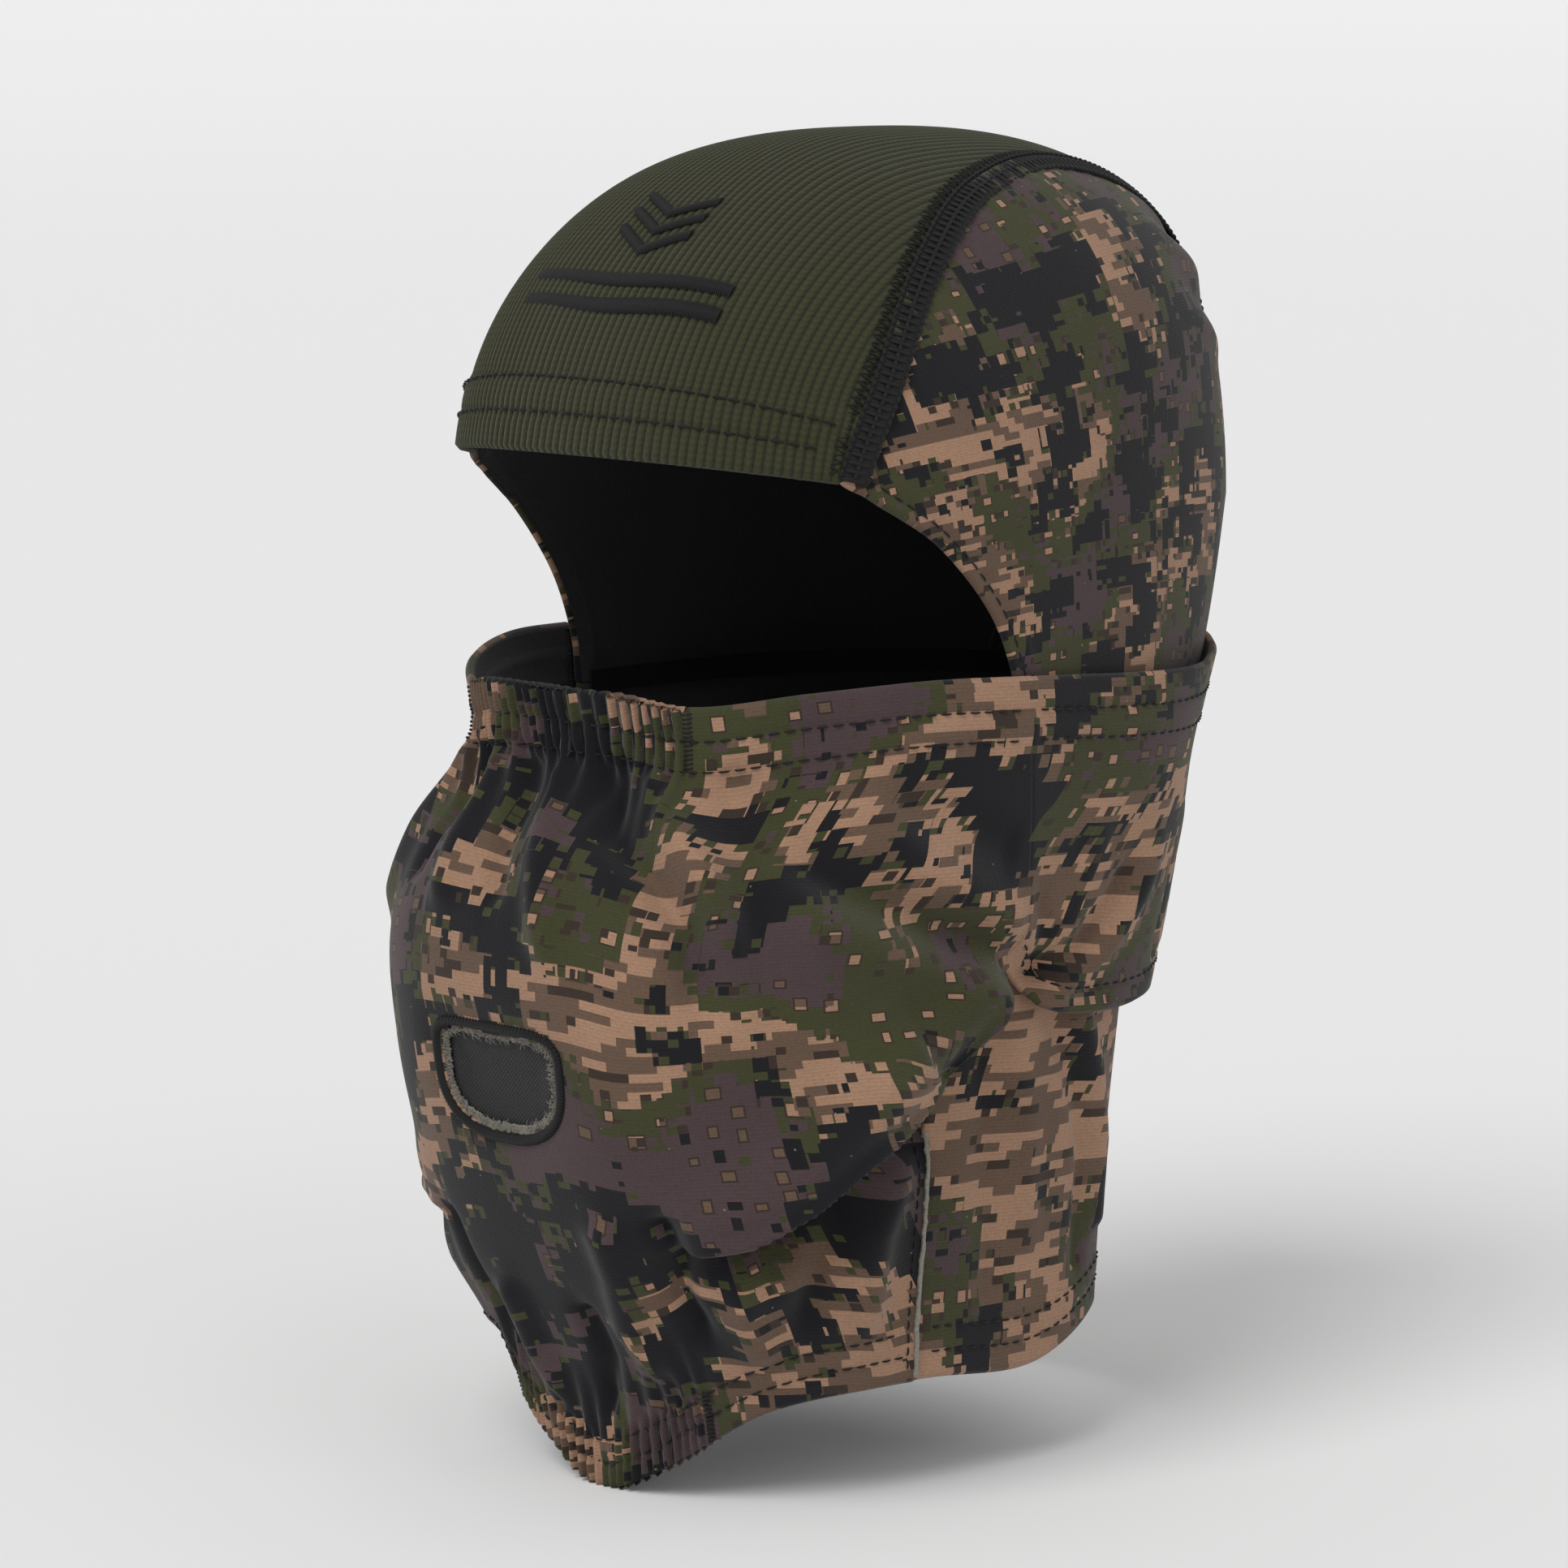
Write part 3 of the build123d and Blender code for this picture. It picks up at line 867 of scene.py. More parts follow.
@dataclass(frozen=True)
class PrintedKnit:
    """Polyester jersey, brushed outside and printed with square camouflage: matt, faintly ribbed."""

    tan: str = "#987760"
    khaki: str = "#5e4a3c"
    olive: str = "#393a20"
    plum: str = "#463739"
    navy: str = "#0e0e13"
    brown: str = "#33271f"
    cell: tuple = (2.6, 2.3)     # smallest printed square
    bold: tuple = (4.0, 3.6)     # steps of the navy patches
    block: tuple = (6.4, 5.6)    # spacing of the outlined squares
    brick: tuple = (6.4, 2.3)
    rib: float = 0.9             # knit courses, drawn coarser than the real 0.5 mm so that they show
    # Towards plum above zero, towards tan below zero. Some patches were matched to how dark each part
    # looked, so the extra plum on the chin and the hood sides is partly painted shade over the real print.
    grounds: tuple = (
        Patch(30, -122, 66, 34, 0.15), Patch(-40, -75, 40, 60, 0.15), Patch(-8, -160, 60, 46, 0.16),
        Patch(92, -72, 46, 26, 0.06), Patch(22, -48, 26, 34, 0.075), Patch(88, -28, 60, 24, -0.16),
        Patch(150, -40, 40, 50, -0.12), Patch(64, -158, 26, 18, -0.10), Patch(46, -78, 14, 22, -0.10),
        Patch(596, 24, 90, 60, 0.08), Patch(896, 24, 90, 60, 0.08), Patch(70, 340, 60, 90, -0.09),
    )
    # Towards navy above zero. Some patches were matched to how dark each part looked, so the extra navy on
    # the chin, the nose and the hood sides is partly painted shade over the real print.
    shadows: tuple = (
        Patch(14, -18, 8, 26, 0.16), Patch(70, -44, 34, 12, 0.11), Patch(136, -30, 20, 26, 0.12),
        Patch(92, -136, 36, 22, 0.16), Patch(4, -158, 64, 42, 0.17), Patch(98, -72, 46, 22, -0.16),
        Patch(34, -110, 46, 20, -0.14), Patch(58, -18, 30, 12, -0.10), Patch(590, 10, 120, 90, 0.07),
        Patch(890, 10, 120, 90, 0.07), Patch(70, 350, 60, 90, -0.07), Patch(-12, -30, 40, 40, 0.09),
        Patch(-70, -60, 60, 60, 0.07),
    )

    def material(self) -> bpy.types.Material:
        """Build the printed cloth.

        Returns:
            The material.
        """
        f = Finish("brushed_camo_jersey")
        cell = self._snap(f, f.cloth, self.cell)
        bold = self._snap(f, f.cloth, self.bold)
        colour = self._dry(f, cell)
        green, plum = self._squares(f)
        dither = f.math("SUBTRACT", f.chance(cell), 0.5)
        ground = f.noise(bold, 52.0, 1.2)
        # Patches: the extra plum on the chin and hood sides is partly painted shade.
        ground = self._favour(f, ground, bold, self.grounds)
        ground = f.blend(dither, 0.045, ground)
        for edge, paint in ((0.507, self.brown), (0.511, green), (0.590, self.brown), (0.595, plum)):
            colour = f.mix(f.math("GREATER_THAN", ground, edge), colour, paint)
        shadow = f.noise(f.vector("ADD", bold, (300.0, 120.0, 0.0)), 21.0, 2.0, 0.6)
        # Patches: the extra navy on the chin, nose and hood sides is partly painted shade.
        shadow = self._favour(f, shadow, bold, self.shadows)
        shadow = f.blend(dither, 0.06, shadow)
        colour = f.mix(f.math("GREATER_THAN", shadow, 0.563), colour, self.olive)
        colour = f.mix(f.math("GREATER_THAN", shadow, 0.572), colour, self.navy)
        colour, relief = self._knit(f, colour)
        return f.shade(colour, relief, 0.22, 0.92, 0.10)

    @staticmethod
    def _snap(f: Finish, place: Socket, size: tuple) -> Socket:
        """Lower corner of the printed cell that a place falls in."""
        return f.vector("SNAP", place, (*size, 1.0))

    @staticmethod
    def _favour(f: Finish, field_: Socket, place: Socket, patches: tuple) -> Socket:
        """Raise or lower a field in round patches.

        Args:
            f: the material being made.
            field_: the field to change.
            place: places on the cloth.
            patches: the round patches.

        Returns:
            The changed field.
        """
        for patch in patches:
            offset = f.vector("SUBTRACT", place, (patch.across, patch.down, 0.0))
            offset = f.vector("DIVIDE", offset, (patch.wide, patch.tall, 1.0))
            reach = add_node(f.tree, "ShaderNodeVectorMath", {0: offset}, operation="LENGTH").outputs[1]
            weight = f.math("SUBTRACT", 1.0, f.math("MULTIPLY", reach, reach), clamp=True)
            field_ = f.blend(weight, patch.amount, field_)
        return field_

    def _dry(self, f: Finish, cell: Socket) -> Socket:
        """Tan on khaki in long bricks, with dark crumbs.

        Args:
            f: the material being made.
            cell: lower corner of the printed cell.

        Returns:
            The colour socket.
        """
        row = add_node(f.tree, "ShaderNodeSeparateXYZ", {0: cell}).outputs[1]
        shift = add_node(f.tree, "ShaderNodeCombineXYZ", {0: f.math("MULTIPLY", f.chance(row), 6.0)})
        brick = self._snap(f, f.vector("ADD", f.cloth, shift.outputs[0]), self.brick)
        wide = f.vector("MULTIPLY", brick, (0.45, 1.0, 1.0))
        field_ = f.blend(f.chance(brick), 0.22, f.noise(wide, 9.5, 1.5))
        pale = f.math("GREATER_THAN", field_, 0.622)
        colour = f.mix(pale, self.khaki, self.tan)
        seam = f.math("GREATER_THAN", f.math("ABSOLUTE", f.math("SUBTRACT", field_, 0.615)), 0.008)
        colour = f.mix(seam, self.brown, colour)
        crumb = f.vector("ADD", cell, (7.0, 3.0, 0.0))
        many = f.noise(crumb, 16.0, 1.0)
        luck = f.blend(many, 0.35, f.chance(crumb))
        return f.mix(f.math("GREATER_THAN", luck, 1.135), colour, self.brown)

    def _squares(self, f: Finish) -> tuple:
        """Olive and plum grounds with scattered outlined squares of uneven size.

        Args:
            f: the material being made.

        Returns:
            The colour sockets of olive and plum.
        """
        block = self._snap(f, f.cloth, self.block)
        luck = f.chance(f.vector("ADD", block, (31.0, 17.0, 0.0)))
        many = f.noise(f.vector("ADD", block, (0.0, 77.0, 0.0)), 26.0, 1.0)
        luck = f.blend(many, 0.9, luck)
        local = add_node(f.tree, "ShaderNodeSeparateXYZ", {0: f.vector("SUBTRACT", f.cloth, block)})
        reach = None
        for k, offset in ((0, 5.0), (1, 9.0)):
            half = self.block[k] / 2
            size = f.blend(f.chance(f.vector("ADD", block, (offset, offset, 0.0))), 0.4 * half, 0.3 * half)
            drift = f.chance(f.vector("ADD", block, (0.0, offset * 3, 0.0)))
            centre = f.blend(drift, 0.7 * half, 0.65 * half)
            way = f.math("ABSOLUTE", f.math("SUBTRACT", local.outputs[k], centre))
            way = f.math("SUBTRACT", way, size)
            reach = way if reach is None else f.math("MAXIMUM", reach, way)
        inside = f.math("LESS_THAN", reach, -0.25)
        outlined = f.math("LESS_THAN", reach, 0.22)
        lucky = f.math("GREATER_THAN", luck, 1.20)
        dark = f.math("LESS_THAN", luck, 0.56)
        green = f.mix(f.math("MULTIPLY", lucky, outlined), self.olive, self.brown)
        green = f.mix(f.math("MULTIPLY", lucky, inside), green, self.tan)
        green = f.mix(f.math("MULTIPLY", dark, inside), green, self.plum)
        plum = f.mix(f.math("MULTIPLY", lucky, outlined), self.plum, self.brown)
        plum = f.mix(f.math("MULTIPLY", lucky, inside), plum, self.khaki)
        plum = f.mix(f.math("MULTIPLY", dark, inside), plum, self.navy)
        return green, plum

    def _knit(self, f: Finish, colour: Socket) -> tuple:
        """Add the knit courses, the brushed pile and pale lint to a printed colour. The colour is made
        darker where the courses and pile sit low and lighter where they stand up, which is painted shade and
        painted highlight.

        Args:
            f: the material being made.
            colour: the printed colour.

        Returns:
            The colour and its relief.
        """
        place = add_node(f.tree, "ShaderNodeSeparateXYZ", {0: f.cloth})
        course = f.math("SINE", f.math("MULTIPLY", place.outputs[1], 2 * math.pi / self.rib))
        relief = f.blend(course, 0.09, f.noise(f.cloth, 0.9, 2.0, 0.7))
        worn = f.noise(f.cloth, 30.0, 3.0, 0.6)
        # Painted shade and highlight: darker where the relief is low, lighter where it is high.
        tone = f.span(relief, (0.2, 0.9), (0.78, 1.20))
        tone = f.math("MULTIPLY", tone, f.span(worn, (0.3, 0.7), (0.92, 1.08)))
        toned = add_node(f.tree, "ShaderNodeVectorMath", {0: colour, "Scale": tone},
                         operation="SCALE").outputs[0]
        lint = add_node(f.tree, "ShaderNodeTexVoronoi", {"Vector": f.cloth, "Scale": 0.13})
        speck = f.math("LESS_THAN", lint.outputs[0], 0.03)
        return f.mix(f.math("MULTIPLY", speck, 0.4), toned, "#a8a39a"), relief


@dataclass(frozen=True)
class BrushedLining:
    """Unprinted inner face of the jersey: charcoal fleece, very matt and soft."""

    colour: str = "#1d1d1e"
    pale: str = "#303132"

    def material(self) -> bpy.types.Material:
        """Build the lining.

        Returns:
            The material.
        """
        f = Finish("charcoal_brushed_lining")
        pile = f.noise(f.cloth, 1.4, 3.0, 0.7)
        return f.shade(f.mix(pile, self.colour, self.pale), pile, 0.3, 0.97, 0.2)


@dataclass(frozen=True)
class CutEdge:
    """Cut edge of the jersey: the undyed core of the yarn shows as a pale, fuzzy line."""

    colour: str = "#35322d"
    pale: str = "#aaa498"

    def material(self) -> bpy.types.Material:
        """Build the edge.

        Returns:
            The material.
        """
        f = Finish("cut_jersey_edge")
        fuzz = f.noise(f.cloth, 0.8, 3.0, 0.8)
        return f.shade(f.mix(fuzz, self.colour, self.pale), fuzz, 0.3, 0.95, 0.2)


@dataclass(frozen=True)
class RibKnit:
    """Acrylic rib knit, drawn from wales of V-shaped stitches: olive and soft, with painted shade darkening
    the grooves and between the loops, and painted highlight on the ridges.
    """

    # Ridge is the olive with painted highlight; groove is painted shade between the wales.
    ridge: str = "#36371f"
    groove: str = "#17180d"
    wale: float = 2.35
    course: float = 1.7

    def material(self) -> bpy.types.Material:
        """Build the rib knit.

        Returns:
            The material.
        """
        f = Finish("olive_rib_knit")
        place = add_node(f.tree, "ShaderNodeSeparateXYZ", {0: f.cloth})
        phase = f.math("MULTIPLY", place.outputs[0], math.pi / self.wale)
        ridge = f.math("ABSOLUTE", f.math("COSINE", phase))
        leg = f.math("MULTIPLY", f.math("ABSOLUTE", f.math("SINE", phase)), 1.9)
        walk = f.math("MULTIPLY", place.outputs[1], 2 * math.pi / self.course)
        loop = f.math("SINE", f.math("ADD", walk, leg))
        loop = f.math("MULTIPLY", f.math("ADD", loop, 1.0), 0.5)
        fuzz = f.noise(f.cloth, 0.8, 3.0, 0.75)
        weave = f.math("MULTIPLY", f.math("ADD", loop, fuzz), 0.5)
        # Painted shade and highlight: dark towards the grooves and between the loops, light on the ridges.
        tone = f.math("MULTIPLY", f.math("POWER", ridge, 0.6), f.blend(weave, 0.6, 0.55), clamp=True)
        colour = f.mix(tone, self.groove, self.ridge)
        return f.shade(colour, f.blend(weave, 0.5, ridge), 0.3, 0.93, 0.10)


@dataclass(frozen=True)
class Thread:
    """Spun polyester sewing thread: near black, dull, with a slight twist."""

    name: str = "black_polyester_thread"
    dark: str = "#070708"
    light: str = "#18181a"

    def material(self) -> bpy.types.Material:
        """Build the thread.

        Returns:
            The material.
        """
        f = Finish(self.name)
        where = add_node(f.tree, "ShaderNodeTexCoord").outputs["Object"]
        twist = f.noise(f.vector("MULTIPLY", where, (1000.0, 1000.0, 1000.0)), 0.5, 2.0, 0.7)
        return f.shade(f.mix(twist, self.dark, self.light), twist, 0.1, 0.62, 0.05)


@dataclass(frozen=True)
class VentMesh:
    """Fine warp-knit mesh: black, slightly shiny, with rows of tiny holes. The holes are not cut: they are
    painted near black, as painted shade for the dark inside seen through them.
    """

    yarn: str = "#1c1d1d"
    # Painted shade: the near black of the holes stands in for the dark inside seen through them.
    hole: str = "#050505"
    pitch: float = 1.1

    def material(self) -> bpy.types.Material:
        """Build the mesh.

        Returns:
            The material.
        """
        f = Finish("black_vent_mesh")
        place = add_node(f.tree, "ShaderNodeSeparateXYZ", {0: f.cloth})
        waves = [
            f.math("SINE", f.math("MULTIPLY", place.outputs[k], 2 * math.pi / self.pitch)) for k in (0, 1)
        ]
        net = f.math("MULTIPLY", waves[0], waves[1])
        # The holes are painted near black: painted shade.
        yarn = f.math("GREATER_THAN", net, -0.25)
        return f.shade(f.mix(yarn, self.hole, self.yarn), net, 0.15, 0.6, 0.1)


@dataclass(frozen=True)
class WovenElastic:
    """Woven elastic: charcoal, with raised lengthwise cords; the colour is lighter where the weave stands up
    and darker between, which is painted highlight and painted shade.
    """

    dark: str = "#1c1c1d"
    light: str = "#3a3a3b"

    def material(self) -> bpy.types.Material:
        """Build the elastic.

        Returns:
            The material.
        """
        f = Finish("woven_elastic")
        place = add_node(f.tree, "ShaderNodeSeparateXYZ", {0: f.cloth})
        cord = f.math("SINE", f.math("MULTIPLY", place.outputs[1], 2 * math.pi / 1.2))
        pick = f.math("SINE", f.math("MULTIPLY", place.outputs[0], 2 * math.pi / 0.8))
        relief = f.math("MULTIPLY", f.math("ADD", cord, pick), 0.5)
        # Painted highlight and shade: lighter where the weave stands up, darker between.
        return f.shade(f.mix(relief, self.dark, self.light), relief, 0.2, 0.7, 0.05)


class Wardrobe:
    """All finishes of the object, made once."""

    def __init__(self) -> None:
        """Build every material."""
        self.camo = PrintedKnit().material()
        self.lining = BrushedLining().material()
        self.edge = CutEdge().material()
        self.rib = RibKnit().material()
        self.thread = Thread().material()
        self.embroidery = Thread("black_rayon_embroidery", "#050506", "#131314").material()
        self.mesh = VentMesh().material()
        self.elastic = WovenElastic().material()

    @staticmethod
    def dress(piece: bpy.types.Object, *materials: bpy.types.Material) -> None:
        """Give a piece its materials."""
        for material in materials:
            piece.data.materials.append(material)


# ------------------------------------------------------------------ how pieces move
class Rig:
    """How pieces follow the bodies."""

    @staticmethod
    def hold(piece: bpy.types.Object, body: Body, slot: str, *nodes: str) -> None:
        """Fix a piece to a body, and hide the CAD nodes it stands for.

        Args:
            piece: the object.
            body: the body that holds it.
            slot: material slot of the record; not used.
        """
        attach(piece, body.value)
        if nodes:
            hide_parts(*nodes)
        log.info("%s rides on %s", piece.name, body.value)

    @staticmethod
    def pull(piece: bpy.types.Object, slot: str, *nodes: str) -> None:
        """Bake a piece's placement into its mesh and hide the CAD nodes it stands for; it is not fixed to a
        body.

        Args:
            piece: the object.
            slot: material slot of the record; not used.
        """
        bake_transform(piece)
        if nodes:
            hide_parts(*nodes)
        log.info("%s blends from mask to hood", piece.name)


# ------------------------------------------------------------------ crown
@dataclass
class CrownStrip:
    """Ribbed strip from the brow over the top to the nape, with its turned brow hem."""

    brow_rise: float = 10.0
    nape_turn: float = 210.0
    widths: tuple = ((0, 65.5), (30, 67.0), (57, 61.0), (82, 51.0), (108, 42.0), (160, 34.0), (210, 30.0))
    wale: float = 2.35
    groove: float = 0.5
    hem_rows: tuple = (8.5, 17.0)
    cloth: float = 1.5
    rows: int = 190
    columns: int = 401
    flat: tuple = (0.165, 0.36)

    def point(self, share: np.ndarray, turn: np.ndarray) -> np.ndarray:
        """Points by their share across the strip and turn from front to nape.

        Args:
            share: shares across, -1 to 1.
            turn: degrees from front to nape.

        Returns:
            The points.
        """
        share, turn = np.broadcast_arrays(np.asarray(share, float), np.asarray(turn, float))
        half = smooth_table(list(self.widths), turn)
        lean = np.radians(turn)
        zero = np.zeros_like(lean)
        start = np.stack([share * half, zero, np.full_like(lean, HOOD_FORM.top)], -1)
        return HOOD_FORM.hit(start, np.stack([zero, -np.cos(lean), np.sin(lean)], -1))

    def knit(self) -> Panel:
        """The ribbed cloth.

        Returns:
            The cloth.
        """
        turn, share = np.meshgrid(
            np.linspace(self.brow_rise, self.nape_turn, self.rows), np.linspace(-1, 1, self.columns),
            indexing="ij",
        )
        base = self.point(share, turn)
        uv = arc_uv(base)
        below = -uv[..., 1]
        ribs = np.abs(np.cos(math.pi * uv[..., 0] / self.wale)) ** 0.7 - 1
        relief = ribs * self.groove
        relief += 0.7 * (1 - smoothstep(self.hem_rows[1], self.hem_rows[1] + 1.5, below))
        for row in self.hem_rows:
            relief -= 0.45 * bump(below - row, 1.1)
        relief += 0.5 * soft_noise(uv[..., 0] / 70, below / 70, 3)
        relief -= 0.9 * smoothstep(0.93, 1.0, np.abs(share))
        normals = Panel(base, uv, 1.0).normals
        thick = self.cloth + 0.9 * (1 - smoothstep(self.hem_rows[1], self.hem_rows[1] + 1.5, below))
        return Panel(base + normals * relief[..., None], uv, thick)

    def rows_of_stitches(self, panel: Panel) -> bpy.types.Object:
        """The two thread rows of the brow hem.

        Args:
            panel: the ribbed cloth.

        Returns:
            The object.
        """
        work = ThreadWork()
        length = np.linalg.norm(np.diff(panel.points[:, self.columns // 2], axis=0), axis=1).sum()
        across = np.linspace(0.02, 0.98, 400)
        for row in self.hem_rows:
            points, normals = panel.at(across, np.full_like(across, row / length))
            work.row(points + normals * 0.4, normals, 3.4, 0.7, 0.65, 0.3)
        return work.build("brow_thread_rows")

    def build(self, wardrobe: Wardrobe) -> Panel:
        """Make the strip and its stitching.

        Args:
            wardrobe: the materials.

        Returns:
            The ribbed cloth.
        """
        panel = self.knit()
        piece = panel.build("crown_rib_knit")
        wardrobe.dress(piece, wardrobe.rib, wardrobe.lining, wardrobe.rib)
        Rig.hold(piece, Body.HOOD, "rib_knit", "crown_panel")
        threads = self.rows_of_stitches(panel)
        wardrobe.dress(threads, wardrobe.thread)
        Rig.hold(threads, Body.HOOD, "black_thread", "brow_stitching")
        return panel


@dataclass
class Emblem:
    """Plain chevrons over a double bar, satin stitched on the front of the crown."""

    middle: float = 4.0
    bend: float = 230.0
    chevrons: tuple = (-80.0, -75.0, -70.0)
    half_width: float = 12.0
    rise: float = 5.5
    bars: tuple = (-89.5, -85.0)
    bar_half: float = 32.0
    pitch: float = 0.55

    @staticmethod
    def on_crown(x: np.ndarray, y: np.ndarray) -> np.ndarray:
        """Points of the crown over places seen from above.

        Args:
            x: places to the side.
            y: places fore and aft.

        Returns:
            The points.
        """
        start = np.stack([x, y, np.full_like(x, HOOD_FORM.top)], -1)
        toward = np.zeros_like(start)
        toward[..., 2] = 1
        return HOOD_FORM.hit(start, toward)

    def satin(self, work: ThreadWork, x: np.ndarray, low: np.ndarray, high: np.ndarray) -> None:
        """Add side by side stitches from low to high.

        Args:
            work: the thread work to add to.
            x: places to the side.
            low: lower ends of the stitches.
            high: upper ends of the stitches.
        """
        a = self.on_crown(x, low)
        b = self.on_crown(x, high)
        step = self.on_crown(x + 1.0, low) - a
        normals = unit(np.cross(step, b - a))
        for i in range(len(x)):
            work.stitch(a[i], b[i], normals[i], 0.8, 0.55, 0.1)

    def build(self, wardrobe: Wardrobe) -> None:
        """Make the embroidery.

        Args:
            wardrobe: the materials.
        """
        work = ThreadWork()
        x = np.arange(-self.half_width, self.half_width, self.pitch)
        for y in self.chevrons:
            low = y + self.rise * np.abs(x) / self.half_width
            self.satin(work, x + self.middle, low, low + 2.6)
        x = np.arange(-self.bar_half, self.bar_half, self.pitch)
        for y in self.bars:
            line = y + (x + self.middle) ** 2 / self.bend
            self.satin(work, x + self.middle, line - 1.3, line + 1.3)
        piece = work.build("crown_embroidery")
        wardrobe.dress(piece, wardrobe.embroidery)
        Rig.hold(piece, Body.HOOD, "embroidery", "crown_emblem")


@dataclass
class CrownSeam:
    """Flatlock seam: a ladder of thick thread over the camo, a fine zigzag over the rib."""

    side: Side
    strip: CrownStrip
    band: tuple = (-1.2, 6.2)
    zigzag: tuple = (-5.0, -1.4)

    def line(self) -> tuple[np.ndarray, np.ndarray, np.ndarray]:
        """Even points along the edge of the strip, outward and sideways directions.

        Returns:
            Points, outward and sideways directions.
        """
        turn = np.linspace(self.strip.brow_rise + 0.3, self.strip.nape_turn - 1, 420)
        points = self.strip.point(np.full_like(turn, self.side.value), turn)
        inner = self.strip.point(np.full_like(turn, self.side.value * 0.97), turn)
        along = unit(np.gradient(points, axis=0))
        normals = unit(np.cross(along, inner - points)) * self.side.value
        normals *= np.sign(np.sum(normals * (points - [0, 0, 20]), -1, keepdims=True))
        even, out, _ = resample(points, normals, 0.7)
        along = unit(np.gradient(even, axis=0))
        aside = unit(np.cross(along, out))
        aside *= np.sign(np.sum(aside * [self.side.value, 0, 0], -1, keepdims=True))
        return even, out, aside

    def build(self, wardrobe: Wardrobe) -> None:
        """Make the base band and its threads.

        Args:
            wardrobe: the materials.
        """
        even, out, aside = self.line()
        middle = sum(self.band) / 2
        width = self.band[1] - self.band[0]
        drop = self._drop(even, out, aside, middle)
        base = strip(self.side.name_of("crown_seam_base"), even + aside * middle - out * drop, out,
                     width, 0.7, -0.1)
        wardrobe.dress(base, wardrobe.thread)
        Rig.hold(base, Body.HOOD, "black_thread", self.side.name_of("crown_seam"))
        work = ThreadWork()
        step = 3
        for i in range(0, len(even) - 3, step):
            a = even[i] + aside[i] * self.band[0] + out[i] * 0.5
            b = even[i + 1] + aside[i + 1] * self.band[1] + out[i] * (0.5 - 0.35)
            work.stitch(a, b, out[i], 1.15, 0.55, 0.2)
            c = even[i] + aside[i] * self.zigzag[0] + out[i] * 0.05
            d = even[i + 2] + aside[i + 2] * self.zigzag[1] + out[i] * 0.15
            work.stitch(c, d, out[i], 0.45, 0.3)
            work.stitch(d, even[i + 3] + aside[i + 3] * self.zigzag[0] + out[i] * 0.05, out[i], 0.45, 0.3)
        for offset, lift in ((self.band[0] + 0.2, 0.75), (self.band[1] - 0.3, 0.35), (2.4, 0.8)):
            line = even + aside * offset + out * lift
            work.row(line, out, 2.0, 0.1, 1.0, 0.3)
        threads = work.build(self.side.name_of("crown_seam_threads"))
        wardrobe.dress(threads, wardrobe.thread)
        Rig.hold(threads, Body.HOOD, "black_thread")

    @staticmethod
    def _drop(even: np.ndarray, out: np.ndarray, aside: np.ndarray, offset: float) -> np.ndarray:
        """How far the form lies under the tangent plane at an offset to the side.

        Args:
            even: points of the seam.
            out: outward directions.
            aside: sideways directions.
            offset: distance to the side.

        Returns:
            The drop at each point.
        """
        probe = even + aside * offset
        start = np.zeros_like(probe)
        start[:, 2] = np.minimum(probe[:, 2], HOOD_FORM.top) * 0.5
        there = HOOD_FORM.hit(start, unit(probe - start))
        return np.maximum(np.sum((probe - there) * out, -1, keepdims=True) - 0.05, 0)


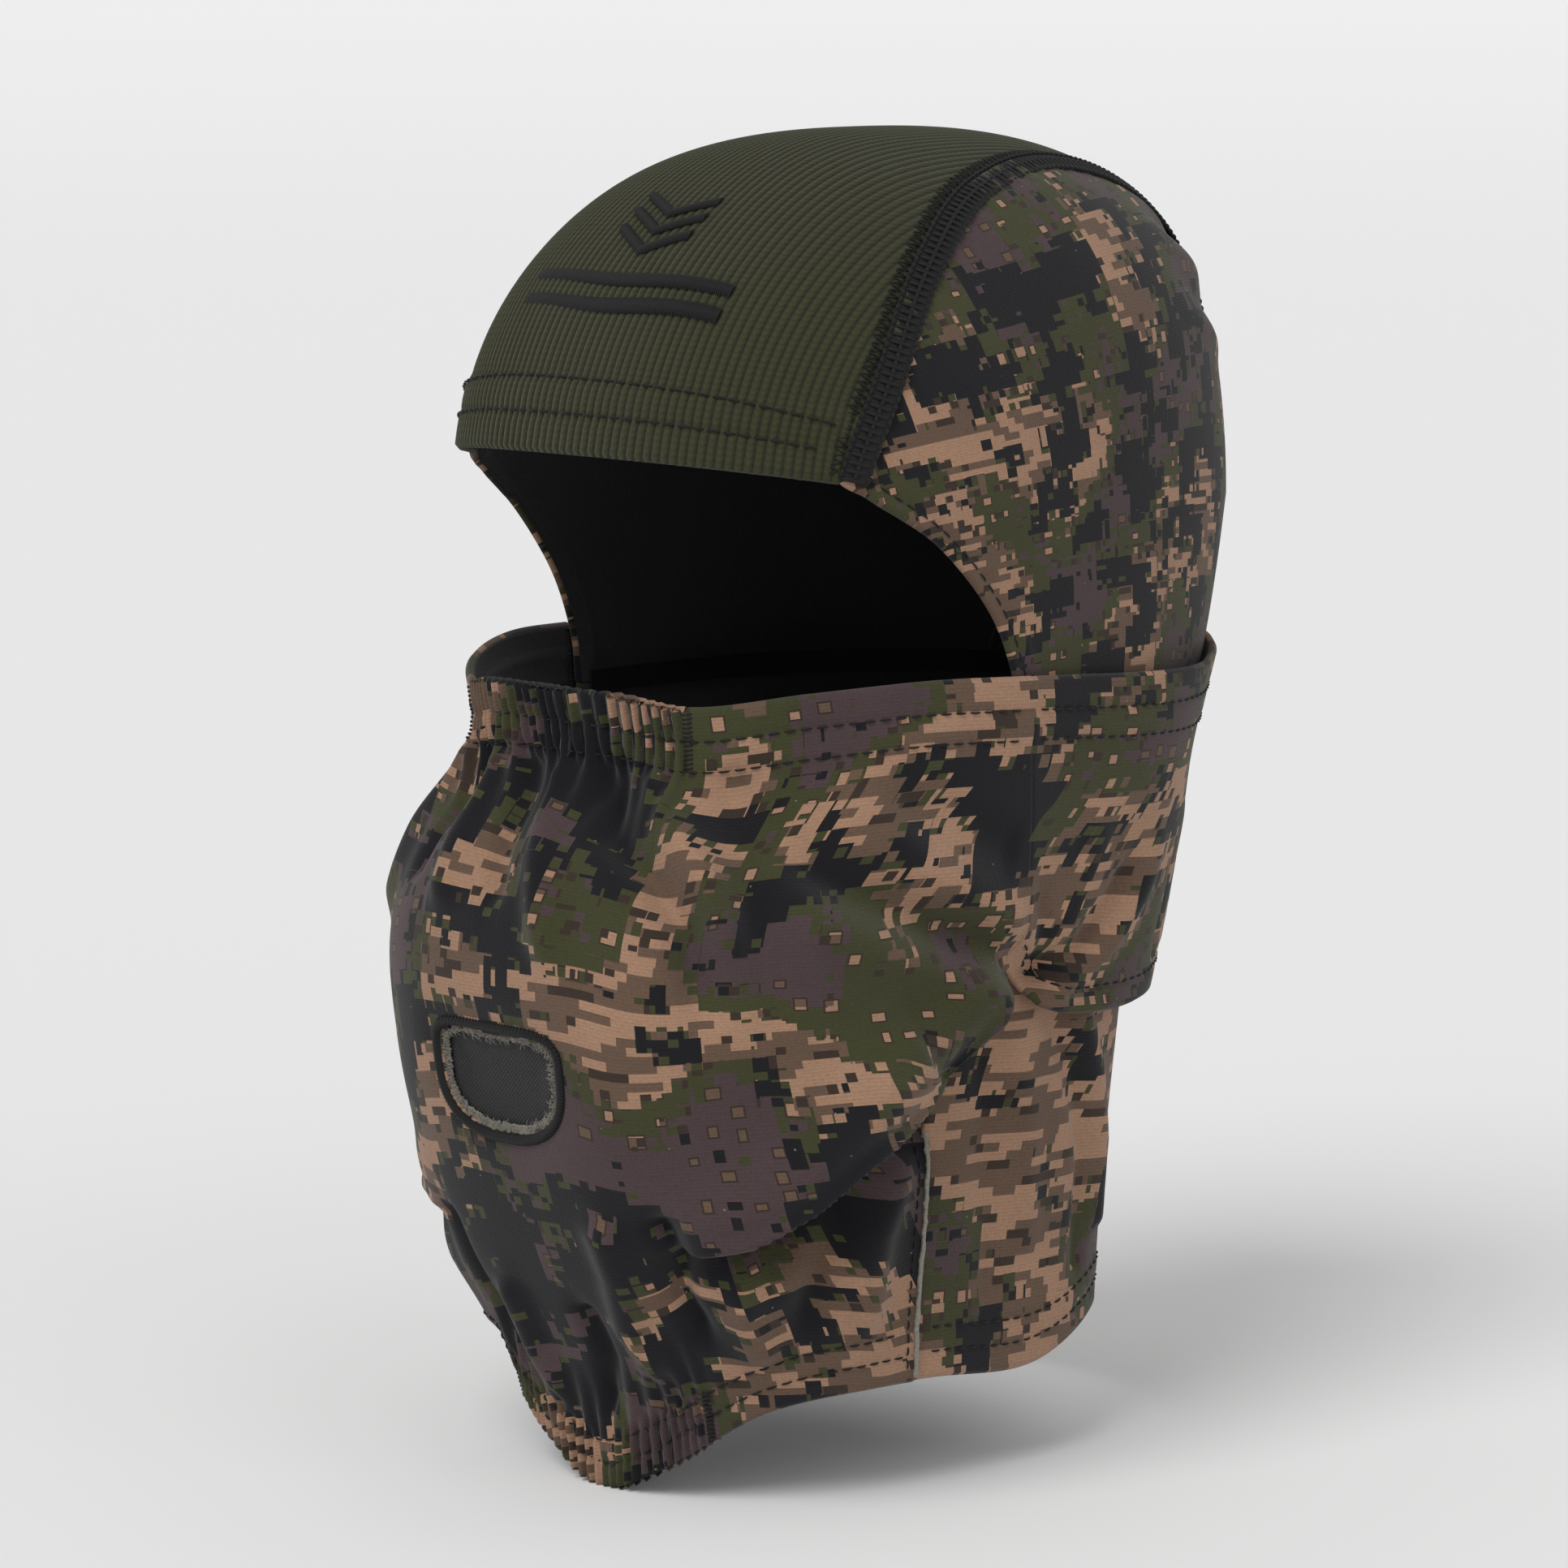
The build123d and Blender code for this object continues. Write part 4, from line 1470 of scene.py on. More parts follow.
# ------------------------------------------------------------------ hood sides and neck
@dataclass
class SidePanel:
    """Camo panel beside the crown strip, which frames the eyes and covers the ear."""

    side: Side
    strip: CrownStrip
    seam_z: float = -12.0
    corner_turn: float = 150.0
    face_edge: tuple = ((71.4, -63.6, 46.9), (76.4, -48.0, 36.0), (78.6, -33.0, 19.4), (79.1, -25.7, 2.4))
    front_angle: float = 73.0
    stitch_in: float = 3.4
    cloth: float = 1.3
    count: int = 150
    flat: tuple = (0.19, 0.15)

    def face_line(self, share: np.ndarray) -> np.ndarray:
        """Edge of the face opening on the left, from brow corner to neck seam.

        Args:
            share: shares along the edge.

        Returns:
            The points of the edge.
        """
        corner = self.strip.point(np.array([1.0]), np.array([self.strip.brow_rise]))
        foot = HOOD_FORM.round(np.array([self.front_angle]), np.array([self.seam_z]))
        points = np.concatenate([corner, np.array(self.face_edge), foot])
        last = len(points) - 1
        rows = [(i / last, *p) for i, p in enumerate(points)]
        line = np.stack([smooth_table(rows, share, k) for k in (1, 2, 3)], -1)
        return HOOD_FORM.hit(np.zeros_like(line), unit(line))

    def patch(self) -> Panel:
        """The cloth, between its four edges.

        Returns:
            The cloth.
        """
        n = self.count
        share = np.linspace(0, 1, n)
        strip = self.strip
        edge = np.full(n, 1.0)
        top = strip.point(edge, np.linspace(strip.brow_rise, self.corner_turn, n))
        back = strip.point(edge, np.linspace(self.corner_turn, strip.nape_turn, n))
        front = self.face_line(share)
        end = 180 - math.degrees(math.atan2(back[-1, 0], back[-1, 1]))
        foot = HOOD_FORM.round(np.linspace(self.front_angle, end, n), np.full(n, self.seam_z))
        foot[-1] = back[-1]
        u = share[:, None, None]
        v = share[None, :, None]
        edges = top[None] * (1 - u) + foot[None] * u + front[:, None] * (1 - v) + back[:, None] * v
        corners = (top[0] * (1 - u) * (1 - v) + top[-1] * (1 - u) * v
                   + foot[0] * u * (1 - v) + foot[-1] * u * v)
        base = HOOD_FORM.hit(np.zeros_like(edges), unit(edges - corners))
        uv = dome_uv(base, (600.0, 0.0) if self.side is Side.LEFT else (900.0, 0.0), 1.25)
        normals = Panel(base, uv, 1.0).normals
        down = -arc_uv(base)[..., 1]
        over = np.linalg.norm(base - base[:, :1], axis=-1)
        relief = 0.7 * soft_noise(uv[..., 0] / 80, uv[..., 1] / 80, 11)
        relief += 0.35 * np.sin(uv[..., 0] * 2 * math.pi / 8.5) * bump(down - 4, 5.0)
        relief += 0.3 * (1 - smoothstep(self.stitch_in + 2, self.stitch_in + 4, over))
        relief -= 0.4 * bump(over - self.stitch_in, 0.9)
        for z, width, height in ((108, 3.2, -1.4), (101, 3.0, 1.0), (92, 4.0, -1.2), (84, 4.0, 0.9)):
            slant = base[..., 2] - z + 0.35 * (base[..., 1] - 60)
            relief += height * bump(slant, width) * smoothstep(40, 66, base[..., 1])
        thick = self.cloth + 0.8 * (1 - smoothstep(self.stitch_in + 2, self.stitch_in + 4, over))
        points = base + normals * relief[..., None]
        points[..., 0] *= self.side.value
        return Panel(points, uv, thick)

    def build(self, wardrobe: Wardrobe) -> Panel:
        """Make the panel and the stitching of its face edge.

        Args:
            wardrobe: the materials.

        Returns:
            The cloth.
        """
        panel = self.patch()
        piece = panel.build(self.side.name_of("side_cloth"))
        wardrobe.dress(piece, wardrobe.camo, wardrobe.lining, wardrobe.camo)
        Rig.hold(piece, Body.HOOD, "camo_knit", self.side.name_of("side_panel"))
        down = np.linspace(0.03, 0.97, 200)
        width = np.linalg.norm(np.diff(panel.points[self.count // 2], axis=0), axis=1).sum()
        points, normals = panel.at(np.full_like(down, self.stitch_in / width), down)
        work = ThreadWork()
        work.row(points + normals * 0.1, normals, 3.0, 0.9, 0.5, 0.3)
        threads = work.build(self.side.name_of("face_edge_threads"))
        wardrobe.dress(threads, wardrobe.thread)
        Rig.hold(threads, Body.HOOD, "black_thread", self.side.name_of("face_stitching"))
        return panel


def hem_height(angle: np.ndarray) -> np.ndarray:
    """Height of the bottom hem at an angle from straight ahead.

    Args:
        angle: degrees from straight ahead.

    Returns:
        The heights.
    """
    rows = [(-32, -175.0), (-12, -193.0), (0, -200.0), (12, -193.0), (32, -175.0), (56, -171.0),
            (88, -173.0), (120, -165.0), (180, -162.0)]
    return smooth_table(rows, np.where(np.asarray(angle) < -12, np.abs(angle), angle))


@dataclass
class NeckPanel:
    """Camo panel of the neck, from the side seam round to the middle of the back."""

    side: Side
    top_z: float = -12.4
    front: tuple = ((-215, 56.0), (-105, 57.5), (-60, 70.0), (0, 73.0))
    hem_rows: tuple = (6.0, 12.0)
    cloth: float = 1.3
    rows: int = 130
    columns: int = 130
    flat: tuple = (0.15, 0.16)

    def patch(self) -> Panel:
        """The cloth with its soft upright folds.

        Returns:
            The cloth.
        """
        down, across = np.meshgrid(np.linspace(0, 1, self.rows), np.linspace(0, 1, self.columns),
                                   indexing="ij")
        rough = self.top_z + (-165 - self.top_z) * down
        start = smooth_table(list(self.front), rough)
        angle = start + (180 - start) * across
        z = self.top_z + (hem_height(angle) - self.top_z) * down
        base = HOOD_FORM.round(angle, z)
        uv = arc_uv(base, (120.0, 420.0) if self.side is Side.LEFT else (420.0, 330.0))
        normals = Panel(base, uv, 1.0).normals
        up = z - hem_height(angle)
        x = angle * 1.12
        relief = 0.9 * soft_noise(x / 60, z / 90, 21 + self.side.value)
        shown = smoothstep(-70, -90, z)
        folds = (
            (((96, -84), (104, -100), (112, -120), (114, -140)), 4.0, 2.4),
            (((88, -84), (97, -102), (104, -122), (106, -150)), 3.4, -2.2),
            (((78, -88), (84, -112), (86, -140)), 5.0, 1.5),
            (((70, -90), (72, -120), (74, -150)), 4.5, -1.2),
            (((126, -84), (130, -120), (131, -150)), 5.0, -1.6),
            (((150, -84), (148, -120), (150, -150)), 6.0, 1.6),
        )
        for line, width, height in folds:
            gap, _ = distance_to_line(x, z, [(a * 1.12, b) for a, b in line])
            relief += height * bump(gap, width) * shown
        relief *= smoothstep(0, 14, up) * 0.8 + 0.2
        for row in self.hem_rows:
            relief -= 0.35 * bump(up - row, 0.9)
        relief += 0.35 * (1 - smoothstep(self.hem_rows[1], self.hem_rows[1] + 1.5, up))
        relief *= smoothstep(-2, -30, z) * 0.9 + 0.1
        thick = self.cloth + 0.8 * (1 - smoothstep(self.hem_rows[1], self.hem_rows[1] + 1.5, up))
        points = base + normals * relief[..., None]
        points[..., 0] *= self.side.value
        return Panel(points, uv, thick)

    def build(self, wardrobe: Wardrobe) -> ThreadWork:
        """Make the panel; returns its hem stitching, which the front builds beside its own.

        Args:
            wardrobe: the materials.

        Returns:
            The hem stitching.
        """
        panel = self.patch()
        piece = panel.build(self.side.name_of("neck_cloth"))
        wardrobe.dress(piece, wardrobe.camo, wardrobe.lining, wardrobe.camo)
        Rig.hold(piece, Body.HOOD, "camo_knit", self.side.name_of("neck_panel"))
        self.side.name_of("side_cloth")
        work = ThreadWork()
        across = np.linspace(0.03, 0.985, 260)
        length = self.top_z - hem_height(np.array(110.0))
        for row in self.hem_rows:
            points, normals = panel.at(across, np.full_like(across, 1 - row / length))
            work.row(points + normals * 0.1, normals)
        return work


# ------------------------------------------------------------------ mask and front
@dataclass
class Vent:
    """D-shaped vent over the mouth: outline, mesh, raw edge and satin ring."""

    middle_z: float = -94.0
    width: float = 40.5
    height: float = 25.0
    ring: tuple = (0.1, 2.6)
    fringe: float = 1.4
    lap: float = 5.0
    count: int = 260

    def outline(self) -> np.ndarray:
        """Closed outline as (x, z) points seen from the front, anticlockwise.

        Returns:
            The points.
        """
        turn = np.linspace(0, 2 * math.pi, self.count, endpoint=False)
        c, s = np.cos(turn), np.sin(turn)
        square = np.where(s > 0, 5.5, 2.5)
        reach = (np.abs(c) ** square + np.abs(s) ** square) ** (-1 / square)
        x = self.width / 2 * c * reach
        z = self.height * np.where(s > 0, 0.42, 0.58) * s * reach + self.height * 0.08
        return np.stack([x, z + self.middle_z], -1)

    def signed(self, x: np.ndarray, z: np.ndarray) -> np.ndarray:
        """Distance to the outline in millimetres, negative inside.

        Args:
            x: places to the side.
            z: heights.

        Returns:
            The distances.
        """
        line = self.outline()
        closed = np.concatenate([line, line[:1]])
        gap, _ = distance_to_line(x, z, [tuple(p) for p in closed])
        return -gap

    def normals(self) -> np.ndarray:
        """Outward directions of the outline in the (x, z) plane.

        Returns:
            The directions.
        """
        line = self.outline()
        along = np.roll(line, -1, 0) - np.roll(line, 1, 0)
        return unit(np.stack([along[:, 1], -along[:, 0]], -1))


@dataclass
class FrontCloth:
    """Front of the mask and of the neck in one: from the nose down to the bottom hem."""

    vent: Vent
    edges: tuple = ((-215, 56.0), (-171, 56.2), (-110, 58.2), (-90, 60.0), (-80, 65.0), (-70, 71.5),
                    (-60, 74.0), (10, 74.0))
    top_edge: tuple = ((0, 1.0), (12, 0.2), (22, -2.6), (38, 0.8), (56, 3.0), (74, 2.6))
    top_rows: tuple = (7.3, 14.7)
    hem_rows: tuple = (6.0, 12.0)
    elastic_angle: float = 21.5
    gather: float = 3.1
    fold_depth: float = 1.9
    cloth: float = 1.4
    millimetres_per_degree: float = 1.85
    rows: int = 176
    flat: tuple = (0.30, 0.21)

    def columns(self) -> np.ndarray:
        """Shares across the cloth, close together where it is gathered.

        Returns:
            The shares.
        """
        return np.concatenate([
            np.linspace(-1, -0.36, 90, endpoint=False), np.linspace(-0.36, 0.36, 260, endpoint=False),
            np.linspace(0.36, 1, 91),
        ])

    def top_z(self, angle: np.ndarray) -> np.ndarray:
        """Height of the top edge."""
        return smooth_table(list(self.top_edge), np.abs(angle))

    def folds(self) -> tuple:
        """Soft folds: line of (angle, height), width and height in millimetres.

        Returns:
            Line, width and height of each fold.
        """
        return (
            (((9, -14), (13, -30), (20, -40), (25, -52), (28, -78)), 4.2, -2.6),
            (((15, -16), (21, -30), (27, -42), (31, -60)), 4.0, 1.8),
            (((26, -14), (30, -34), (34, -60), (36, -80)), 6.0, -1.6),
            (((3, -15), (4, -30), (7, -48), (10, -66)), 4.0, 1.7),
            (((-3, -15), (-2, -32), (0, -52)), 3.2, -1.7),
            (((-9, -15), (-9, -34), (-8, -55)), 4.2, 1.6),
            (((-14, -15), (-16, -32), (-18, -50)), 3.4, -1.8),
            (((-20, -15), (-25, -36), (-30, -64)), 5.0, 1.8),
            (((80, -71), (68, -65), (56, -56), (46, -47), (38, -37), (31, -26)), 6.0, -2.6),
            (((70, -74), (60, -68), (50, -60), (40, -52), (34, -44)), 6.5, 1.8),
            (((74, -58), (64, -50), (54, -40), (46, -28)), 6.5, 1.5),
            (((72, -40), (60, -30), (48, -22)), 6.0, -1.0),
            (((54, -84), (44, -92), (34, -98)), 9.0, 2.0),
            (((20, -122), (22, -134), (21, -146), (24, -160)), 3.6, -2.8),
            (((13, -124), (14, -140), (13, -154), (17, -170)), 5.5, 2.4),
            (((30, -134), (29, -148), (31, -164)), 5.0, 2.0),
            (((50, -118), (40, -138), (36, -158)), 5.0, -1.8),
            (((54, -110), (48, -132), (46, -160)), 5.0, 1.5),
            (((4, -150), (5, -166), (2, -182)), 4.0, -1.8),
            (((-8, -146), (-9, -164), (-6, -180)), 4.5, 1.8),
            (((-18, -130), (-17, -150), (-15, -172)), 4.0, -2.0),
            (((-34, -120), (-40, -140), (-42, -160)), 6.0, 1.8),
        )

    def roll(self, angle: np.ndarray, z: np.ndarray, sign: int, depth: float) -> np.ndarray:
        """Slack cloth that bags over the chin line and tucks in under it.

        Args:
            angle: degrees from straight ahead.
            z: heights in millimetres.
            sign: -1 or 1, the half of the face.
            depth: how far the cloth bags.

        Returns:
            The added height.
        """
        k = self.millimetres_per_degree
        line = [(76, -66), (70.5, -70), (64.5, -80), (59.3, -90), (48.5, -106), (38.4, -121),
                (31.0, -129), (24.0, -133), (16.0, -133)]
        gap, share = distance_to_line(angle * sign * k, z, [(a * k, b) for a, b in line])
        fade = (1 - smoothstep(0.72, 1.0, share)) * smoothstep(0.0, 0.18, share)
        above = bump(gap + 7, 9.0) * 0.8 + bump(gap, 3.0) * 0.5
        below = -bump(gap - 5.5, 7.0) * 1.15 + bump(gap, 1.6) * 0.4
        side = smoothstep(-0.7, 1.5, gap)
        return depth * (above * (1 - side) + below * side) * fade

    def patch(self) -> Panel:
        """The cloth with its gathers, folds and the hole of the vent.

        Returns:
            The cloth.
        """
        down, share = np.meshgrid(np.linspace(0, 1, self.rows), self.columns(), indexing="ij")
        rough = 1.0 + (-180.0 - 1.0) * down
        angle = share * smooth_table(list(self.edges), rough)
        z = self.top_z(angle) + (hem_height(angle) - self.top_z(angle)) * down
        angle = share * smooth_table(list(self.edges), z)
        base = MASK_FORM.round(angle, z)
        lean = smoothstep(13, 1, smooth_table(list(self.edges), z) - np.abs(angle))
        lean = (lean * smoothstep(-74, -92, z))[..., None]
        close = HOOD_FORM.round(angle, z)
        base = base * (1 - lean) + (close + unit(close * [1, 1, 0]) * 1.6) * lean
        uv = arc_uv(base, (0.0, 0.0))
        normals = Panel(base, uv, 1.0, (0, 0, -90)).normals
        relief = self._relief(angle, z, uv)
        points = base + normals * relief[..., None]
        below = self.top_z(angle) - z
        up = z - hem_height(angle)
        thick = self.cloth + 0.9 * (1 - smoothstep(14.7, 16.4, below)) + 0.8 * (1 - smoothstep(12, 13.5, up))
        keep = self._cut_vent(points)
        return Panel(points, uv, thick, (0, 0, -90), keep)

    def _relief(self, angle: np.ndarray, z: np.ndarray, uv: np.ndarray) -> np.ndarray:
        """Height of gathers, hems and folds over the base.

        Args:
            angle: degrees from straight ahead.
            z: heights in millimetres.
            uv: cloth coordinates.

        Returns:
            The height.
        """
        k = self.millimetres_per_degree
        below = self.top_z(angle) - z
        up = z - hem_height(angle)
        across = uv[..., 0]
        gathered = smoothstep(self.elastic_angle + 2, self.elastic_angle - 1.5, np.abs(angle))
        phase = across + 1.3 * np.sin(across / 5.3) + 1.1 * soft_noise(across / 40, z / 60, 5)
        uneven = 1 + 0.45 * soft_noise(across / 16, z / 50, 6)
        ruffle = np.sin(phase * 2 * math.pi / self.gather) * uneven
        relief = 0.95 * ruffle * gathered * (1 - smoothstep(13, 20, below))
        relief += 0.8 * np.sin(phase * math.pi / self.gather + 1) * gathered * uneven * (
            smoothstep(11, 17, below) * (1 - smoothstep(18, 36, below)))
        relief += 0.9 * ruffle * gathered * (1 - smoothstep(11, 17, up))
        relief += 0.6 * np.sin(phase * math.pi / self.gather) * gathered * (
            smoothstep(9, 15, up) * (1 - smoothstep(17, 34, up)))
        for line, width, height in self.folds():
            gap, share = distance_to_line(angle * k, z, [(a * k, b) for a, b in line])
            fade = smoothstep(-0.02, 0.12, share) * (1 - smoothstep(0.8, 1.02, share)) + 0.12
            relief += self.fold_depth * height * bump(gap, width) * fade
            if min(a for a, _ in line) > 28:
                gap, share = distance_to_line(-angle * k, z, [(a * k, b) for a, b in line])
                relief += 0.85 * self.fold_depth * height * bump(gap, width)
        relief += self.roll(angle, z, 1, 8.0) + self.roll(angle, z, -1, 3.5)
        relief += 0.9 * soft_noise(across / 75, z / 75, 8)
        calm = smoothstep(0, 16, below) * 0.85 + 0.15
        relief = np.where(below < 16, relief * np.maximum(calm, gathered), relief)
        for row in self.top_rows:
            relief -= 0.42 * bump(below - row, 0.95)
        relief += 0.45 * (1 - smoothstep(14.7, 16.4, below))
        for row in self.hem_rows:
            relief -= 0.4 * bump(up - row, 0.95)
        relief += 0.4 * (1 - smoothstep(12, 13.5, up))
        gap = self.vent.signed(MASK_FORM.round(angle, z)[..., 0], z)
        flat = smoothstep(2, 12, gap)
        return relief * flat - 0.5 * bump(gap, 3.5)

    def _cut_vent(self, points: np.ndarray) -> np.ndarray:
        """Snap the grid to the vent's outline and mark the quads to keep.

        Args:
            points: the grid of the cloth.

        Returns:
            One truth value for each quad.
        """
        gap = self.vent.signed(points[..., 0], points[..., 2])
        gap = np.where(points[..., 1] < 0, gap, 50.0)
        inside = gap < -0.35
        return ~(inside[:-1, :-1] | inside[1:, :-1] | inside[:-1, 1:] | inside[1:, 1:])

    def place(self, panel: Panel, angle: np.ndarray, z: np.ndarray) -> tuple[np.ndarray, np.ndarray]:
        """Points and outward directions of the finished cloth at angles and heights.

        Args:
            panel: the finished front cloth.
            angle: degrees from straight ahead.
            z: heights in millimetres.

        Returns:
            The points and the directions.
        """
        share = angle / smooth_table(list(self.edges), z)
        columns = self.columns()
        u = np.interp(share, columns, np.linspace(0, 1, len(columns)))
        v = (self.top_z(angle) - z) / (self.top_z(angle) - hem_height(angle))
        return panel.at(u, v)

    def facing(self, panel: Panel, x: np.ndarray, z: np.ndarray) -> tuple[np.ndarray, np.ndarray]:
        """Points and directions of the cloth at places seen from the front, near the vent.

        Args:
            panel: the finished front cloth.
            x: places to the side.
            z: heights.

        Returns:
            The points and the directions.
        """
        angles = np.linspace(-30, 30, 241)
        seen = MASK_FORM.round(angles, np.full_like(angles, self.vent.middle_z))[:, 0]
        return self.place(panel, np.interp(x, seen, angles), z)


@dataclass
class Front:
    """The front cloth with its stitching, elastics, seams and vent."""

    cloth: FrontCloth
    tack_pitch: float = 1.1

    def build(self, wardrobe: Wardrobe, hem_work: list[ThreadWork]) -> Panel:
        """Make the front and everything sewn on it; returns its cloth.

        Args:
            wardrobe: the materials.
            hem_work: stitching of the neck hems, left and right.

        Returns:
            The front cloth.
        """
        panel = self.cloth.patch()
        piece = panel.build("front_cloth")
        wardrobe.dress(piece, wardrobe.camo, wardrobe.lining, wardrobe.camo)
        Rig.pull(piece, "camo_knit", "mask_front", "front_panel")
        self._top_threads(panel, wardrobe)
        self._hem_threads(panel, wardrobe, hem_work)
        self._tacks(panel, wardrobe)
        self._elastics(panel, wardrobe)
        for side in Side:
            self._side_seam(panel, side, wardrobe)
            self._wing_seam(panel, side, wardrobe)
        self._vent(panel, wardrobe)
        return panel

    def _top_threads(self, panel: Panel, wardrobe: Wardrobe) -> None:
        """Two thread rows under the mask's top edge.

        Args:
            panel: the finished front cloth.
            wardrobe: the materials.
        """
        work = ThreadWork()
        angle = np.linspace(-72.5, 72.5, 700)
        for row in self.cloth.top_rows:
            points, normals = self.cloth.place(panel, angle, self.cloth.top_z(angle) - row)
            work.row(points + normals * 0.12, normals)
        piece = work.build("mask_top_threads_front")
        wardrobe.dress(piece, wardrobe.thread)
        Rig.pull(piece, "black_thread", "mask_top_stitching")

    def _hem_threads(self, panel: Panel, wardrobe: Wardrobe, hem_work: list[ThreadWork]) -> None:
        """Two thread rows of the bottom hem, in front and round the neck.

        Args:
            panel: the finished front cloth.
            wardrobe: the materials.
            hem_work: stitching of the neck hems, left and right.
        """
        work = ThreadWork()
        angle = np.linspace(-54, 54, 500)
        for row in self.cloth.hem_rows:
            points, normals = self.cloth.place(panel, angle, hem_height(angle) + row)
            work.row(points + normals * 0.12, normals)
        piece = work.build("bottom_hem_threads_front")
        wardrobe.dress(piece, wardrobe.thread)
        Rig.pull(piece, "black_thread")
        for side, work in zip(Side, hem_work):
            piece = work.build(side.name_of("bottom_hem_threads"))
            wardrobe.dress(piece, wardrobe.thread)
            Rig.hold(piece, Body.HOOD, "black_thread", "bottom_stitching")

    def _tacks(self, panel: Panel, wardrobe: Wardrobe) -> None:
        """Bars of thread at the ends of both elastics.

        Args:
            panel: the finished front cloth.
            wardrobe: the materials.
        """
        work = ThreadWork()
        limit = self.cloth.elastic_angle
        for sign in (-1, 1):
            for top, bottom in ((-3.0, -16.5), (-171.0, -184.5)):
                z = np.arange(bottom, top, self.tack_pitch)
                left, out = self.cloth.place(panel, np.full_like(z, sign * limit - 0.7), z)
                right, _ = self.cloth.place(panel, np.full_like(z, sign * limit + 0.7), z + 0.4)
                for i in range(len(z)):
                    work.stitch(left[i], right[i], out[i], 0.7, 0.6, 0.1)
        piece = work.build("elastic_end_tacks")
        wardrobe.dress(piece, wardrobe.thread)
        Rig.pull(piece, "black_thread", "elastic_tacks")

    def _elastics(self, panel: Panel, wardrobe: Wardrobe) -> None:
        """Elastics behind the two hems.

        Args:
            panel: the finished front cloth.
            wardrobe: the materials.
        """
        limit = self.cloth.elastic_angle
        angle = np.linspace(-limit, limit, 200)
        heights = (
            ("nose_elastic_tape", self.cloth.top_z(angle) - 7.5, "nose_elastic"),
            ("bottom_elastic_tape", hem_height(angle) + 6.5, "bottom_elastic"),
        )
        for name, z, node in heights:
            points, normals = self.cloth.place(panel, angle, z)
            piece = strip(name, points, normals, 8.0, 0.8, -3.8)
            wardrobe.dress(piece, wardrobe.elastic)
            Rig.pull(piece, "elastic", node)

    def _side_seam(self, panel: Panel, side: Side, wardrobe: Wardrobe) -> None:
        """Lapped seam with a pale raw edge, where the front lies on the neck.

        Args:
            panel: the finished front cloth.
            side: side of the head.
            wardrobe: the materials.
        """
        z = np.linspace(-91, hem_height(np.array(56.0)) + 0.5, 120)
        edge = smooth_table(list(self.cloth.edges), z)
        points, normals = self.cloth.place(panel, side.value * (edge - 0.25), z)
        lap = strip(side.name_of("side_seam_raw_edge"), points, normals, 1.15, 0.7, -0.1, 0.17, 4)
        wardrobe.dress(lap, wardrobe.edge)
        Rig.pull(lap, "black_thread", side.name_of("side_seam"))
        work = ThreadWork()
        points, normals = self.cloth.place(panel, side.value * (edge - 2.0), z)
        work.row(points + normals * 0.15, normals, 2.6, 0.8, 0.5, 0.3)
        threads = work.build(side.name_of("side_seam_threads"))
        wardrobe.dress(threads, wardrobe.thread)
        Rig.pull(threads, "black_thread")

    def _wing_seam(self, panel: Panel, side: Side, wardrobe: Wardrobe) -> None:
        """Taped seam between the mask front and the band, on the inner face.

        Args:
            panel: the finished front cloth.
            side: side of the head.
            wardrobe: the materials.
        """
        z = np.linspace(2.0, -69, 90)
        edge = smooth_table(list(self.cloth.edges), z)
        points, normals = self.cloth.place(panel, side.value * edge, z)
        seam = strip(side.name_of("wing_seam_tape"), points, normals, 6.0, 0.6, -3.2)
        wardrobe.dress(seam, wardrobe.elastic)
        Rig.pull(seam, "black_thread", side.name_of("wing_seam"))

    def _vent(self, panel: Panel, wardrobe: Wardrobe) -> None:
        """Mesh, raw edge and satin ring of the vent.

        Args:
            panel: the finished front cloth.
            wardrobe: the materials.
        """
        vent = self.cloth.vent
        outline, away = vent.outline(), vent.normals()
        self._vent_mesh(panel, wardrobe)
        steps = np.linspace(0.6, -vent.fringe, 7)
        rng = np.random.default_rng(17)
        ragged = rng.normal(0, 0.28, len(outline) + 1)
        ragged[-1] = ragged[0]
        closed = np.concatenate([outline, outline[:1]])
        out2 = np.concatenate([away, away[:1]])
        rings = []
        for k, step in enumerate(steps):
            reach = step + ragged * (k / 6)
            spot = closed + out2 * reach[:, None]
            points, normals = self.cloth.facing(panel, spot[:, 0], spot[:, 1])
            rough = rng.normal(0, 0.12, len(spot))
            rough[-1] = rough[0]
            rings.append(points - normals * (0.35 + 0.12 * k - rough)[:, None])
        grid = np.array(rings)
        ring = Panel(grid, arc_uv(grid), 0.7, (0, 0, -90)).build("vent_raw_edge")
        wardrobe.dress(ring, wardrobe.edge, wardrobe.edge, wardrobe.edge)
        Rig.pull(ring, "camo_knit")
        self._fringe(panel, outline, away, wardrobe)
        work = ThreadWork()
        for i in range(0, len(outline)):
            a = outline[i] + away[i] * vent.ring[0]
            b = outline[i] + away[i] * (vent.ring[1] + (0.25 if i % 2 else 0.0))
            ends, out = self.cloth.facing(panel, np.array([a[0], b[0]]), np.array([a[1], b[1]]))
            work.stitch(ends[0], ends[1], out[0], 0.75, 0.95, 0.15)
        satin = work.build("vent_satin_ring")
        wardrobe.dress(satin, wardrobe.thread)
        Rig.pull(satin, "black_thread", "mouth_edging")

